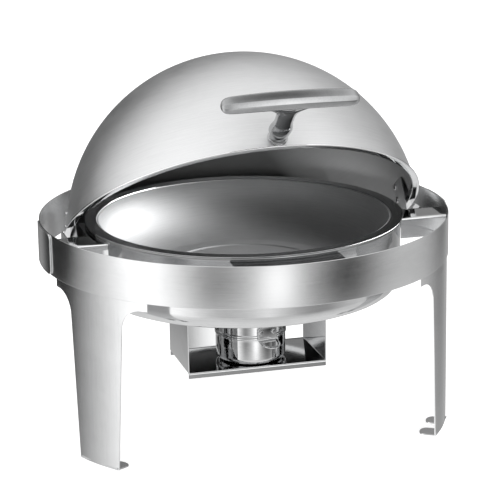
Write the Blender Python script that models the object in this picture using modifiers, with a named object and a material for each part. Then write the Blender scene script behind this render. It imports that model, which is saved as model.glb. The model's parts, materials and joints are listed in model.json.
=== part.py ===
"""Round roll-top chafing dish food warmer.

A steel band on three curved sheet legs carries a water pan, with a food pan resting in it.
A hemispherical lid rolls back between two hinge housings at the band's sides, and a fuel
holder stands in a U-shaped bracket bolted under the water pan.

Frame: +Z up, the feet stand on Z = 0, the front is -Y and the hinge axis runs along X.
All sizes are in metres and all angles in degrees unless a name says otherwise.
"""

import math

import bmesh
import bpy
from mathutils import Matrix, Vector

# ---------------------------------------------------------------- driving dimensions
MM = 0.001
GAP = 0.3 * MM                      # clearance between pieces that touch

BAND_R = 248.5 * MM                 # outer radius of the band
BAND_T = 1.2 * MM
BAND_TOP = 260.6 * MM
BAND_BOTTOM = 210.5 * MM

LEG_T = 1.5 * MM
LEG_TOP = 224.2 * MM
LEG_SHOULDER_HALF = 78.4 * MM       # half width of the leg's T-shaped head
LEG_SHOULDER_Z = 200.5 * MM
LEG_FILLET = 27.0 * MM
LEG_TOP_HALF = 43.7 * MM            # half width just under the fillets
LEG_FLOOR_HALF = 33.5 * MM
LEG_EDGE_Z = 0.5 * MM               # the sheet's lower edge, just clear of the floor
LEG_ANGLES = {"leg_left": -60.0, "leg_right": 60.0, "leg_rear": 180.0}
PRONG_LENGTH = 24.0 * MM
PRONG_WIDTH = 22.0 * MM
PRONG_CENTRE = 20.5 * MM            # sideways distance of each prong from the leg's middle

HINGE_Z = 237.0 * MM
LID_R = 215.9 * MM                  # outer radius of the hemispherical lid
LID_T = 1.0 * MM
LID_OPEN = 35.8                     # how far the lid stands open at rest
MOUTH_N = 14.2 * MM                 # lid mouth plane, above the hinge axis along the lid's own axis
RIM_R = 220.0 * MM
ARM_X = 207.0 * MM                  # inner face of the hinge arms
ARM_T = 1.5 * MM
ARM_HALF = 15.0 * MM
ARM_BACK = 4.0 * MM                 # the arm's middle lies this far behind the pivot
ARM_TOP = 48.0 * MM
ARM_RIVETS = (44.0 * MM, 27.0 * MM)  # rivet heights above the hinge axis
ARM_RIVET_BACK = 15.0 * MM
PIN_R = 4.0 * MM

HANDLE_TILT = 7.6                   # handle stem above the mouth plane
HANDLE_REACH = 79.0 * MM            # from the lid's surface to the grip's middle
GRIP_HALF = 80.5 * MM
GRIP_WIDE = 11.6 * MM               # half width of the grip, across the stem
GRIP_THICK = 6.8 * MM               # half thickness of the grip, along the stem
GRIP_BOW = 3.5 * MM
COLLAR_R = 11.75 * MM
STEM_FLATTEN = 0.68

HOUSING_FRONT = -61.0 * MM
HOUSING_TOP_BACK = -22.0 * MM
HOUSING_BACK = 14.0 * MM
LEDGE_BACK = 40.0 * MM
HOUSING_TOP = 250.4 * MM
HOUSING_BOTTOM = 225.0 * MM
SHEET = 1.5 * MM
CHEEK_IN = 197.0 * MM
CHEEK_OUT = 222.0 * MM
HOUSING_R = 246.9 * MM
SCREW_ANGLE = 7.0                   # the housing screws sit this far in front of the hinge axis
SCREW_HEIGHTS = (230.5 * MM, 243.5 * MM)
FRONT_BRACKET_HALF = 65.0 * MM

SIDE_PLATE_R = 250.3 * MM
SIDE_PLATE_HALF = 39.0 * MM
SIDE_PLATE_CORNER = 7.0 * MM

WATER_R = 190.8 * MM
WATER_TOP = 254.5 * MM
WATER_BOTTOM = 165.0 * MM
WATER_CORNER = 18.0 * MM
WATER_T = 1.0 * MM

FOOD_RIM_R = 193.5 * MM
FOOD_RIM_Z = 255.8 * MM
FOOD_MOUTH_R = 179.0 * MM
FOOD_FLOOR_R = 95.0 * MM
FOOD_FLOOR_Z = 191.0 * MM
FOOD_T = 1.0 * MM

BRACKET_HALF = 87.0 * MM
BRACKET_FRONT = -56.0 * MM
BRACKET_REAR = 40.0 * MM
BRACKET_FLOOR = 78.0 * MM
BRACKET_LIP = 71.0 * MM
BRACKET_FLANGE = 15.0 * MM
STUD_Y = (-38.0 * MM, 22.0 * MM)

CUP_X = 3.0 * MM
CUP_Y = -12.0 * MM
CUP_R = 43.0 * MM
CUP_BOTTOM = 78.3 * MM
CUP_TOP = 113.5 * MM
COLLAR_TOP = 136.0 * MM
COLLAR_MOUTH = 26.0 * MM
DAMPER_PIVOT = 33.0 * MM            # distance of the damper's rivet from the cup's axis
DAMPER_R = 28.5 * MM
HANDLE_AZIMUTH = 12.0               # of the cup's side handle, from the front towards +X

# ---------------------------------------------------------------- scene helpers
for old in list(bpy.data.objects):
    bpy.data.objects.remove(old, do_unlink=True)

PARTS = bpy.data.collections.new("chafing_dish")
CUTTERS = bpy.data.collections.new("cutters")
GUIDES = bpy.data.collections.new("joint_axes")
for made in (PARTS, CUTTERS, GUIDES):
    bpy.context.scene.collection.children.link(made)


def material(name, colour, roughness, metallic):
    """A Principled material with one plain finish."""
    mat = bpy.data.materials.new(name)
    mat.use_nodes = True
    shader = mat.node_tree.nodes["Principled BSDF"]
    shader.inputs["Base Color"].default_value = (*colour, 1.0)
    shader.inputs["Roughness"].default_value = roughness
    shader.inputs["Metallic"].default_value = metallic
    return mat


MIRROR = ("mirror_steel", (0.80, 0.80, 0.80), 0.08, 1.0)
SATIN = ("satin_steel", (0.74, 0.74, 0.74), 0.28, 1.0)
CAST = ("cast_chrome", (0.82, 0.82, 0.83), 0.06, 1.0)
ZINC = ("zinc_plated", (0.62, 0.63, 0.64), 0.35, 1.0)
NYLON = ("black_nylon", (0.03, 0.03, 0.03), 0.45, 0.0)
TIN = ("fuel_tinplate", (0.66, 0.66, 0.64), 0.30, 1.0)


def add_object(name, mesh, finish=None, parent=None):
    """Link a mesh as a finished part, or as a hidden cutter when it has no finish."""
    obj = bpy.data.objects.new(name, mesh)
    if finish is None:
        CUTTERS.objects.link(obj)
        obj.hide_render = True
        obj.display_type = "WIRE"
    else:
        PARTS.objects.link(obj)
        mesh.materials.clear()
        mesh.materials.append(material(f"{name}_{finish[0]}", *finish[1:]))
    obj.parent = parent
    return obj


def evaluated_mesh(obj, weld=True):
    """The object's mesh with its modifiers applied; the object itself is removed."""
    bpy.context.view_layer.update()
    graph = bpy.context.evaluated_depsgraph_get()
    mesh = bpy.data.meshes.new_from_object(obj.evaluated_get(graph))
    mesh.transform(obj.matrix_world)
    bpy.data.objects.remove(obj, do_unlink=True)
    if weld:
        edit = bmesh.new()
        edit.from_mesh(mesh)
        bmesh.ops.remove_doubles(edit, verts=edit.verts, dist=0.00001)
        edit.to_mesh(mesh)
        edit.free()
    return mesh


def shade_round(mesh, sharp=35.0):
    """Smooth shading with hard creases kept."""
    mesh.shade_smooth()
    mesh.set_sharp_from_angle(angle=math.radians(sharp))


def turned(name, profile, steps, finish=None, loop=True, parent=None):
    """A profile of (radius, height) points turned about Z. A loop profile is a closed ring
    section; an open one starts and ends on the axis. Profiles run down their outer side."""
    edit = bmesh.new()
    verts = [edit.verts.new((r, 0.0, z)) for r, z in profile]
    pairs = list(zip(verts, verts[1:]))
    if loop:
        pairs.append((verts[-1], verts[0]))
    for pair in pairs:
        edit.edges.new(pair)
    mesh = bpy.data.meshes.new(name)
    edit.to_mesh(mesh)
    edit.free()
    obj = add_object(name, mesh, finish, parent)
    screw = obj.modifiers.new("turn", "SCREW")
    screw.steps = steps
    screw.render_steps = steps
    screw.use_merge_vertices = True
    screw.merge_threshold = 0.00001
    screw.use_smooth_shade = True
    return obj


def turned_mesh(profile, steps, loop=False):
    """The mesh of a small turned piece, for fasteners that are placed several times."""
    return evaluated_mesh(turned("turned_blank", profile, steps, loop=loop))


def aligned(origin, direction):
    """A matrix whose Z axis points along direction."""
    turn = Vector(direction).to_track_quat("Z", "Y").to_matrix().to_4x4()
    return Matrix.Translation(Vector(origin)) @ turn


def cutter_group(name, pieces, parent=None):
    """One hidden cutter from separate closed bodies, given as (mesh, matrix) pairs."""
    edit = bmesh.new()
    for mesh, matrix in pieces:
        copy = mesh.copy()
        copy.transform(matrix)
        edit.from_mesh(copy)
        bpy.data.meshes.remove(copy)
    mesh = bpy.data.meshes.new(name)
    edit.to_mesh(mesh)
    edit.free()
    return add_object(name, mesh, None, parent)


def placed(name, mesh, matrix, finish, parent=None):
    """A finished piece from a mesh made about the origin, put in place by a matrix."""
    copy = mesh.copy()
    copy.name = name
    copy.transform(matrix)
    shade_round(copy)
    return add_object(name, copy, finish, parent)


def placed_all(name, pieces, finish, parent=None):
    """Numbered copies of a repeated piece, given as (mesh, matrix) pairs."""
    return [placed(f"{name}_{i}", mesh, matrix, finish, parent)
            for i, (mesh, matrix) in enumerate(pieces, 1)]


def block(name, low, high, finish=None, parent=None):
    """A box between two corners."""
    low, high = Vector(low), Vector(high)
    size = high - low
    place = Matrix.Translation((low + high) / 2) @ Matrix.Diagonal((*size, 1.0))
    edit = bmesh.new()
    bmesh.ops.create_cube(edit, size=1.0, matrix=place)
    mesh = bpy.data.meshes.new(name)
    edit.to_mesh(mesh)
    edit.free()
    return add_object(name, mesh, finish, parent)


def rod(name, radius, start, direction, length, finish=None, parent=None, sides=12):
    """A plain cylinder from start along direction."""
    place = aligned(start, direction) @ Matrix.Translation((0.0, 0.0, length / 2))
    edit = bmesh.new()
    bmesh.ops.create_cone(edit, cap_ends=True, segments=sides, radius1=radius,
                          radius2=radius, depth=length, matrix=place)
    mesh = bpy.data.meshes.new(name)
    edit.to_mesh(mesh)
    edit.free()
    return add_object(name, mesh, finish, parent)


def flat_plate(name, outline, thickness, place, holes=()):
    """A sheet cut to an outline of (x, y) points, its holes cut through, as a mesh in place."""
    curve = bpy.data.curves.new(name, "CURVE")
    curve.dimensions = "2D"
    curve.fill_mode = "BOTH"
    curve.extrude = thickness / 2
    for points in (outline, *holes):
        spline = curve.splines.new("POLY")
        spline.points.add(len(points) - 1)
        for point, (x, y) in zip(spline.points, points):
            point.co = (x, y, 0.0, 1.0)
        spline.use_cyclic_u = True
    obj = bpy.data.objects.new(name, curve)
    CUTTERS.objects.link(obj)
    mesh = evaluated_mesh(obj)
    bpy.data.curves.remove(curve)
    edit = bmesh.new()
    edit.from_mesh(mesh)
    bmesh.ops.recalc_face_normals(edit, faces=edit.faces)
    edit.to_mesh(mesh)
    edit.free()
    mesh.transform(place)
    return mesh


def boolean(obj, other, operation="DIFFERENCE"):
    """Cut, join or trim obj with another object."""
    step = obj.modifiers.new(operation.lower(), "BOOLEAN")
    step.operation = operation
    step.solver = "EXACT"
    step.object = other
    return obj


def arc(centre, radius, start, end, count):
    """Points of a circular arc, or an elliptical one when radius is a pair."""
    rx, ry = radius if isinstance(radius, tuple) else (radius, radius)
    points = []
    for i in range(count + 1):
        angle = math.radians(start + (end - start) * i / count)
        points.append((centre[0] + rx * math.cos(angle), centre[1] + ry * math.sin(angle)))
    return points


def circle(centre, radius, count=12):
    """Points of a full circle, without repeating the first one."""
    return arc(centre, radius, 0.0, 360.0, count)[:-1]


def empty(name, location, parent=None):
    """A guide that marks a joint's axis and carries the pieces that move on it."""
    guide = bpy.data.objects.new(name, None)
    GUIDES.objects.link(guide)
    guide.location = location
    guide.empty_display_size = 0.03
    guide.parent = parent
    return guide


def front_angle(degrees):
    """The horizontal direction that many degrees from the front, towards +X."""
    angle = math.radians(degrees)
    return Vector((math.sin(angle), -math.cos(angle), 0.0))


# ---------------------------------------------------------------- band, legs and side plates
BAND_STEPS = 72
BAND_INNER = BAND_R - BAND_T


def make_band():
    """The rolled band, with clearance holes for the hinge housing screws."""
    section = [(BAND_R, BAND_TOP), (BAND_R, BAND_BOTTOM),
               (BAND_INNER, BAND_BOTTOM), (BAND_INNER, BAND_TOP)]
    band = turned("band_ring", section, BAND_STEPS, MIRROR)
    boolean(band, screw_holes("band_screw_holes", 0.240, 0.2489))


def screw_directions():
    """Side (-1 left, 1 right) and outward direction of each row of housing screws."""
    for side in (-1, 1):
        yield side, front_angle(side * (90.0 - SCREW_ANGLE))


def screw_holes(name, start, end, sides=(-1, 1)):
    """Cutter for the clearance holes round the housing screws' shanks."""
    blank = turned_mesh([(0, end - start), (2.4 * MM, end - start), (2.4 * MM, 0), (0, 0)], 10)
    pieces = []
    for side, out in screw_directions():
        if side in sides:
            for z in SCREW_HEIGHTS:
                pieces.append((blank, aligned(out * start + Vector((0, 0, z)), out)))
    return cutter_group(name, pieces)


def leg_outline():
    """The leg's developed outline: half widths against height, closed over both sides."""
    corner = (LEG_TOP_HALF + LEG_FILLET, LEG_SHOULDER_Z - LEG_FILLET)
    right = [(LEG_FLOOR_HALF, LEG_EDGE_Z)]
    right += arc(corner, LEG_FILLET, 180.0, 90.0, 7)
    right += [(LEG_SHOULDER_HALF, LEG_SHOULDER_Z), (LEG_SHOULDER_HALF, LEG_TOP)]
    left = [(-x, z) for x, z in reversed(right)]
    return right + left


def prong_outline(centre):
    """One foot prong seen from above: straight sides and a rounded inner end."""
    outer = -(BAND_INNER - GAP - 0.4 * LEG_T)
    inner = outer + PRONG_LENGTH
    half = PRONG_WIDTH / 2
    end = arc((centre, inner - 7 * MM), (half, 7 * MM), 0.0, 180.0, 8)
    return [(centre - half, outer), (centre + half, outer), *end]


def make_leg(name, angle):
    """A curved sheet leg, lapped inside the band, with two prongs bent in at the floor."""
    outer = BAND_INNER - GAP
    turn = Matrix.Rotation(math.radians(angle), 4, "Z")
    top, low = LEG_TOP + 5 * MM, -5 * MM
    section = [(outer, top), (outer, low), (outer - LEG_T, low), (outer - LEG_T, top)]
    leg = turned(name, section, BAND_STEPS, MIRROR)
    stand = Matrix.Translation((0, -0.23, 0)) @ Matrix.Rotation(math.radians(90), 4, "X")
    shape = flat_plate(f"{name}_outline", leg_outline(), 0.08, turn @ stand)
    boolean(leg, add_object(f"{name}_outline", shape), "INTERSECT")
    for side in (-1, 1):
        lift = turn @ Matrix.Translation((0, 0, LEG_T / 2))
        prong = flat_plate(f"{name}_prong", prong_outline(side * PRONG_CENTRE), LEG_T, lift)
        boolean(leg, add_object(f"{name}_prong_{side}", prong), "UNION")


def make_side_plate(name, side):
    """A thin cover plate bent round the band over each hinge, its corners rounded."""
    outer, inner = SIDE_PLATE_R, BAND_R + GAP
    low, high = BAND_BOTTOM + 0.6 * MM, BAND_TOP - 0.6 * MM
    section = [(outer, high + SHEET), (outer, low - SHEET),
               (inner, low - SHEET), (inner, high + SHEET)]
    plate = turned(name, section, BAND_STEPS, MIRROR)
    half, corner = SIDE_PLATE_HALF, SIDE_PLATE_CORNER
    outline = arc((half - corner, low + corner), corner, -90.0, 0.0, 4)
    outline += arc((half - corner, high - corner), corner, 0.0, 90.0, 4)
    outline += arc((corner - half, high - corner), corner, 90.0, 180.0, 4)
    outline += arc((corner - half, low + corner), corner, 180.0, 270.0, 4)
    stand = Matrix(((0, 0, 1, side * 0.25), (1, 0, 0, 0), (0, 1, 0, 0), (0, 0, 0, 1)))
    shape = flat_plate(f"{name}_outline", outline, 0.08, stand)
    boolean(plate, add_object(f"{name}_outline", shape), "INTERSECT")
    boolean(plate, screw_holes(f"{name}_holes", 0.240, outer - 0.6 * MM, (side,)))


# ---------------------------------------------------------------- hinge housings and front bracket
def span(side, x1, x2):
    """The lower and upper x of a stretch on the given side."""
    return sorted((side * x1, side * x2))


def side_block(name, side, x1, x2, y1, y2, z1, z2):
    """A cutter box at the given side of the band."""
    low_x, high_x = span(side, x1, x2)
    return block(name, (low_x, y1, z1), (high_x, y2, z2))


def curved_flange(name, bottom, low, high):
    """A strip that follows the inside of the band, trimmed to a box."""
    outer = HOUSING_R + 1.0 * MM
    top = HOUSING_TOP - SHEET / 2
    section = [(outer, top), (outer, bottom), (HOUSING_R - SHEET, bottom), (HOUSING_R - SHEET, top)]
    strip = turned(name, section, BAND_STEPS)
    boolean(strip, block(f"{name}_trim", low, high), "INTERSECT")
    return strip


def make_housing(name, side):
    """Bent sheet housing between the band and the water pan: top, front, two hinge cheeks,
    a ledge that carries the water pan, and a flange screwed to the band."""
    top = HOUSING_TOP - SHEET
    low_x, high_x = span(side, 0.170, 0.250)
    housing = block(name, (low_x, HOUSING_FRONT, top),
                    (high_x, HOUSING_TOP_BACK, HOUSING_TOP), MIRROR)
    walls = [
        ("front", 0.170, 0.250, HOUSING_FRONT, HOUSING_FRONT + SHEET, HOUSING_BOTTOM),
        ("cheek_out", CHEEK_OUT, CHEEK_OUT + SHEET, HOUSING_FRONT, HOUSING_BACK, HOUSING_BOTTOM),
        ("cheek_in", CHEEK_IN, CHEEK_IN + SHEET, HOUSING_FRONT, HOUSING_BACK, HOUSING_BOTTOM),
        ("ledge", 0.170, CHEEK_IN + SHEET, HOUSING_FRONT, LEDGE_BACK, top),
    ]
    for part, x1, x2, y1, y2, bottom in walls:
        wall = side_block(f"{name}_{part}", side, x1, x2, y1, y2, bottom, HOUSING_TOP)
        boolean(housing, wall, "UNION")
    low_x, high_x = span(side, 0.230, 0.250)
    flange = curved_flange(f"{name}_flange", HOUSING_BOTTOM, (low_x, HOUSING_FRONT, 0.22),
                           (high_x, HOUSING_TOP_BACK, 0.26))
    boolean(housing, flange, "UNION")
    inner = WATER_R + GAP
    annulus = [(HOUSING_R, 0.26), (HOUSING_R, 0.22), (inner, 0.22), (inner, 0.26)]
    boolean(housing, turned(f"{name}_annulus", annulus, BAND_STEPS), "INTERSECT")
    boolean(housing, rod(f"{name}_pin_hole", PIN_R + GAP, (side * 0.190, 0, HINGE_Z),
                         (side, 0, 0), 0.04, sides=16))
    boolean(housing, screw_holes(f"{name}_screw_holes", 0.240, 0.248, (side,)))


def make_housing_screws():
    """Four pan-head screws that hold the housings to the band and the side plates."""
    head = 3.8 * MM
    profile = [(0, 4.6 * MM), (1.9 * MM, 4.6 * MM), (1.9 * MM, 0), (head, 0),
               (head, -1.6 * MM), (2.4 * MM, -2.4 * MM), (0, -2.4 * MM)]
    screw = turned_mesh(profile, 12)
    seat = HOUSING_R - SHEET - 0.6 * MM
    pieces = []
    for _, out in screw_directions():
        for z in SCREW_HEIGHTS:
            pieces.append((screw, aligned(out * seat + Vector((0, 0, z)), out)))
    placed_all("housing_screw", pieces, ZINC)


def make_front_bracket():
    """Bent shelf between the band and the water pan at the front."""
    half = FRONT_BRACKET_HALF
    top = HOUSING_TOP - SHEET
    bracket = block("front_bracket", (-half, -0.25, top), (half, -0.17, HOUSING_TOP), MIRROR)
    flange = curved_flange("front_bracket_flange", 0.232, (-half, -0.25, 0.22),
                           (half, -0.20, 0.26))
    boolean(bracket, flange, "UNION")
    inner = WATER_R + GAP
    annulus = [(HOUSING_R, 0.26), (HOUSING_R, 0.22), (inner, 0.22), (inner, 0.26)]
    boolean(bracket, turned("front_bracket_annulus", annulus, BAND_STEPS), "INTERSECT")


def make_hinge_pins():
    """Shoulder pins through the cheeks and arms, with a clip on the inner end and bushes
    that keep the arm in the middle of the housing."""
    head_at = CHEEK_OUT + SHEET + GAP
    tail_at = CHEEK_IN - 2.4 * MM
    clip = turned_mesh([(6.0 * MM, 1.6 * MM), (6.0 * MM, 0), (PIN_R + GAP, 0),
                        (PIN_R + GAP, 1.6 * MM)], 16, loop=True)
    arm_out = ARM_X + ARM_T + GAP
    bushes = [(CHEEK_IN + SHEET + GAP, ARM_X - GAP), (arm_out, CHEEK_OUT - GAP)]
    for side, name in ((-1, "left"), (1, "right")):
        length = head_at - tail_at
        pin = turned_mesh([(0, length + 3 * MM), (5.4 * MM, length + 3 * MM),
                           (7.0 * MM, length + 2 * MM), (7.0 * MM, length),
                           (PIN_R, length), (PIN_R, 0), (0, 0)], 20)
        start = aligned((side * tail_at, 0, HINGE_Z), (side, 0, 0))
        placed(f"hinge_pin_{name}", pin, start, ZINC)
        clip_at = aligned((side * (CHEEK_IN - GAP - 1.6 * MM), 0, HINGE_Z), (side, 0, 0))
        placed(f"pin_clip_{name}", clip, clip_at, ZINC)
        rings = []
        for begin, end in bushes:
            ring = turned_mesh([(7.5 * MM, end - begin), (7.5 * MM, 0),
                                (PIN_R + GAP, 0), (PIN_R + GAP, end - begin)], 20, loop=True)
            rings.append((ring, aligned((side * begin, 0, HINGE_Z), (side, 0, 0))))
        placed_all(f"hinge_bush_{name}", rings, NYLON)


# ---------------------------------------------------------------- roll-top lid
LID_STEPS = 48
LID_RINGS = 10


def mouth_angle(radius, n):
    """Angle from the lid's axis to the circle at height n on a sphere."""
    return math.degrees(math.acos(n / radius))


def arm_hardware():
    """Side and lid-frame position of each arm rivet."""
    for side in (-1, 1):
        for n in ARM_RIVETS:
            yield side, Vector((0, ARM_RIVET_BACK, n))


def handle_direction():
    """The stem's direction in the lid's frame: forwards, and a little above the mouth."""
    tilt = math.radians(HANDLE_TILT)
    return Vector((0, -math.cos(tilt), math.sin(tilt)))


def make_lid_dome(axis):
    """The hemispherical shell, drilled for the arm rivets and the handle screw."""
    edge = MOUTH_N + 1.6 * MM
    inner_r = LID_R - LID_T
    outer = arc((0, 0), LID_R, 90.0, 90.0 - mouth_angle(LID_R, edge), LID_RINGS)
    inner = arc((0, 0), inner_r, 90.0 - mouth_angle(inner_r, edge), 90.0, LID_RINGS)
    outer[0] = (0.0, LID_R)
    inner[-1] = (0.0, inner_r)
    dome = turned("lid_dome", outer + inner, LID_STEPS, SATIN, loop=False, parent=axis)
    drill = turned_mesh([(0, 0.03), (2.5 * MM, 0.03), (2.5 * MM, 0), (0, 0)], 10)
    holes = []
    for side, at in arm_hardware():
        holes.append((drill, aligned(at + Vector((side * 0.195, 0, 0)), (side, 0, 0))))
    out = handle_direction()
    screw_drill = turned_mesh([(0, 0.02), (3.4 * MM, 0.02), (3.4 * MM, 0), (0, 0)], 12)
    holes.append((screw_drill, aligned(out * 0.205, out)))
    boolean(dome, cutter_group("lid_holes", holes, axis))


def make_lid_rim(axis):
    """The rolled channel round the lid's mouth, open above where it takes the shell's edge."""
    low = MOUTH_N
    profile = [(RIM_R, low + 2.2 * MM), (RIM_R, low), (211.2 * MM, low),
               (211.2 * MM, low + 7.8 * MM), (212.3 * MM, low + 7.8 * MM),
               (212.3 * MM, low + 1.2 * MM), (218.8 * MM, low + 1.2 * MM),
               (218.8 * MM, low + 2.2 * MM)]
    turned("lid_rim", profile, LID_STEPS, MIRROR, parent=axis)


def make_hinge_arm(name, side, axis):
    """A flat strap from the pivot up the inside of the lid."""
    front = -(ARM_HALF - ARM_BACK)
    back = ARM_HALF + ARM_BACK
    cut = 5 * MM
    foot = arc((ARM_BACK, 0), ARM_HALF, 180.0, 360.0, 10)
    outline = [*foot, (back, ARM_TOP - cut), (back - cut, ARM_TOP),
               (front + cut, ARM_TOP), (front, ARM_TOP - cut)]
    holes = [circle((0, 0), PIN_R + GAP, 16)]
    holes += [circle((ARM_RIVET_BACK, n), 2.5 * MM, 10) for n in ARM_RIVETS]
    stand = Matrix(((0, 0, 1, side * (ARM_X + ARM_T / 2)), (1, 0, 0, 0),
                    (0, 1, 0, 0), (0, 0, 0, 1)))
    mesh = flat_plate(name, outline, ARM_T, stand, holes)
    add_object(name, mesh, MIRROR, axis)


def make_arm_rivets(axis):
    """Rivets that hold the arms to the lid; the lower ones have a shoulder that spans the
    space between the flat arm and the curved shell."""
    pieces = []
    for side, at in arm_hardware():
        flat = at.y ** 2 + at.z ** 2
        skin = math.sqrt(LID_R ** 2 - flat)
        shoulder_end = math.sqrt((LID_R - LID_T - 1.5 * MM) ** 2 - flat) - 0.6 * MM
        arm_out = ARM_X + ARM_T + GAP
        head_in = ARM_X - GAP
        head_out = skin + 1.3 * MM
        profile = [(0, head_out + 1.4 * MM), (2.6 * MM, head_out + 1.4 * MM),
                   (4.0 * MM, head_out + 0.6 * MM), (4.0 * MM, head_out), (2.1 * MM, head_out)]
        if shoulder_end - arm_out > 1.0 * MM:
            profile += [(2.1 * MM, shoulder_end), (3.4 * MM, shoulder_end),
                        (3.4 * MM, arm_out), (2.1 * MM, arm_out)]
        profile += [(2.1 * MM, head_in), (4.2 * MM, head_in), (4.2 * MM, head_in - 0.7 * MM),
                    (2.6 * MM, head_in - 1.5 * MM), (0, head_in - 1.5 * MM)]
        pieces.append((turned_mesh(profile, 8), aligned(at, (side, 0, 0))))
    placed_all("arm_rivet", pieces, ZINC, axis)


def grip_mesh(out):
    """The tapered, slightly bowed grip bar, in the lid's frame."""
    curve = bpy.data.curves.new("grip", "CURVE")
    curve.dimensions = "3D"
    curve.bevel_depth = GRIP_WIDE
    curve.bevel_resolution = 3
    curve.use_fill_caps = True
    spline = curve.splines.new("POLY")
    count = 13
    spline.points.add(count - 1)
    for i, point in enumerate(spline.points):
        along = math.sin(math.radians(-90.0 + 180.0 * i / (count - 1)))
        point.co = (along * GRIP_HALF, 0.0, -GRIP_BOW * along ** 2, 1.0)
        point.radius = (1.0 - 0.14 * along ** 2) * max(0.35, math.sqrt(1.0 - abs(along) ** 14))
    obj = bpy.data.objects.new("grip", curve)
    CUTTERS.objects.link(obj)
    mesh = evaluated_mesh(obj)
    bpy.data.curves.remove(curve)
    thin = Matrix.Diagonal((1.0, GRIP_THICK / GRIP_WIDE, 1.0, 1.0))
    tilt = Matrix.Rotation(-math.radians(HANDLE_TILT), 4, "X")
    mesh.transform(Matrix.Translation(out * (LID_R + HANDLE_REACH)) @ tilt @ thin)
    return mesh


def make_handle(axis):
    """The cast T handle: an oval stem that spreads into the grip, bored for its screw."""
    out = handle_direction()
    reach = HANDLE_REACH
    start = 3.4 * MM
    stem = [(0, reach), (20.0 * MM, reach - 0.5 * MM), (15.0 * MM, reach - 6.5 * MM),
            (12.6 * MM, reach - 14 * MM), (11.6 * MM, reach - 26 * MM), (11.4 * MM, 42 * MM),
            (11.7 * MM, 33 * MM), (13.4 * MM, 24 * MM), (13.6 * MM, 17 * MM),
            (12.2 * MM, 10 * MM), (11.4 * MM, start), (0, start)]
    mesh = turned_mesh(stem, 24)
    flatten = Matrix.Diagonal((1.0, STEM_FLATTEN, 1.0, 1.0))
    lean = Matrix.Rotation(math.radians(90.0 - HANDLE_TILT), 4, "X")
    mesh.transform(Matrix.Translation(out * LID_R) @ lean @ flatten)
    shade_round(mesh)
    handle = add_object("lid_handle", mesh, CAST, axis)
    boolean(handle, add_object("handle_grip", grip_mesh(out), parent=axis), "UNION")
    bore = rod("handle_bore", 3.2 * MM, out * (LID_R + 1 * MM), out, 18 * MM, parent=axis)
    boolean(handle, bore)
    collar = turned_mesh([(10.6 * MM, 3.0 * MM), (COLLAR_R, 2.2 * MM), (COLLAR_R, 0.5 * MM),
                          (3.4 * MM, 0.5 * MM), (3.4 * MM, 3.0 * MM)], 24, loop=True)
    placed("handle_collar", collar, aligned(out * LID_R, out), CAST, axis)
    screw = turned_mesh([(0, 17 * MM), (2.8 * MM, 17 * MM), (2.8 * MM, -2.3 * MM),
                         (6.0 * MM, -2.3 * MM), (6.0 * MM, -4.4 * MM), (4.4 * MM, -6.0 * MM),
                         (0, -6.0 * MM)], 16)
    placed("handle_screw", screw, aligned(out * LID_R, out), ZINC, axis)


# ---------------------------------------------------------------- pans
PAN_STEPS = 44


def make_water_pan():
    """The deep outer pan with a rolled edge that sits on the housings' ledges."""
    bead = 1.8 * MM
    taper = 2.0 * MM
    corner_r = WATER_R - taper - WATER_CORNER
    corner_z = WATER_BOTTOM + WATER_CORNER
    inner_corner = WATER_CORNER - WATER_T
    outside = [(WATER_R, WATER_TOP), (WATER_R + bead, WATER_TOP - 0.8 * MM),
               (WATER_R + bead, HOUSING_TOP + 1.1 * MM), (WATER_R, HOUSING_TOP + GAP)]
    outside += arc((corner_r, corner_z), WATER_CORNER, 0.0, -90.0, 4)
    outside.append((0, WATER_BOTTOM))
    inside = [(0, WATER_BOTTOM + WATER_T)]
    inside += arc((corner_r, corner_z), inner_corner, -90.0, 0.0, 4)
    inside.append((WATER_R - WATER_T, WATER_TOP))
    turned("water_pan", rounded_off(outside + inside), PAN_STEPS, MIRROR, loop=False)


def rounded_off(points):
    """The same profile with its open ends joined over the top edge, starting on the axis."""
    lowest = [i for i, (r, _) in enumerate(points) if r == 0]
    first, second = lowest
    return points[second:] + points[:first + 1]


def make_food_pan(axis):
    """The shallow food pan: a flat rim with a small step, curved sides and a flat floor."""
    drop = FOOD_RIM_Z - FOOD_FLOOR_Z
    step = 1.6 * MM
    mouth = FOOD_MOUTH_R - 2.0 * MM
    top = FOOD_RIM_Z - step
    wide = mouth - FOOD_FLOOR_R
    deep = drop - step
    outside = [(FOOD_RIM_R, FOOD_RIM_Z), (FOOD_RIM_R, FOOD_RIM_Z - FOOD_T),
               (FOOD_MOUTH_R + FOOD_T, FOOD_RIM_Z - FOOD_T),
               (FOOD_MOUTH_R + 0.3 * MM, top - FOOD_T)]
    outside += arc((FOOD_FLOOR_R, top), (wide + FOOD_T, deep + FOOD_T), -4.0, -90.0, 5)
    outside.append((0, FOOD_FLOOR_Z - FOOD_T))
    inside = [(0, FOOD_FLOOR_Z)]
    inside += arc((FOOD_FLOOR_R, top), (wide, deep), -90.0, 0.0, 5)
    inside.append((FOOD_MOUTH_R - 0.6 * MM, top))
    inside.append((FOOD_MOUTH_R, FOOD_RIM_Z))
    pan = turned("food_pan", rounded_off(outside + inside), PAN_STEPS, SATIN, loop=False)
    pan.parent = axis
    pan.matrix_parent_inverse = Matrix.Translation(-axis.location)


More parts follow.
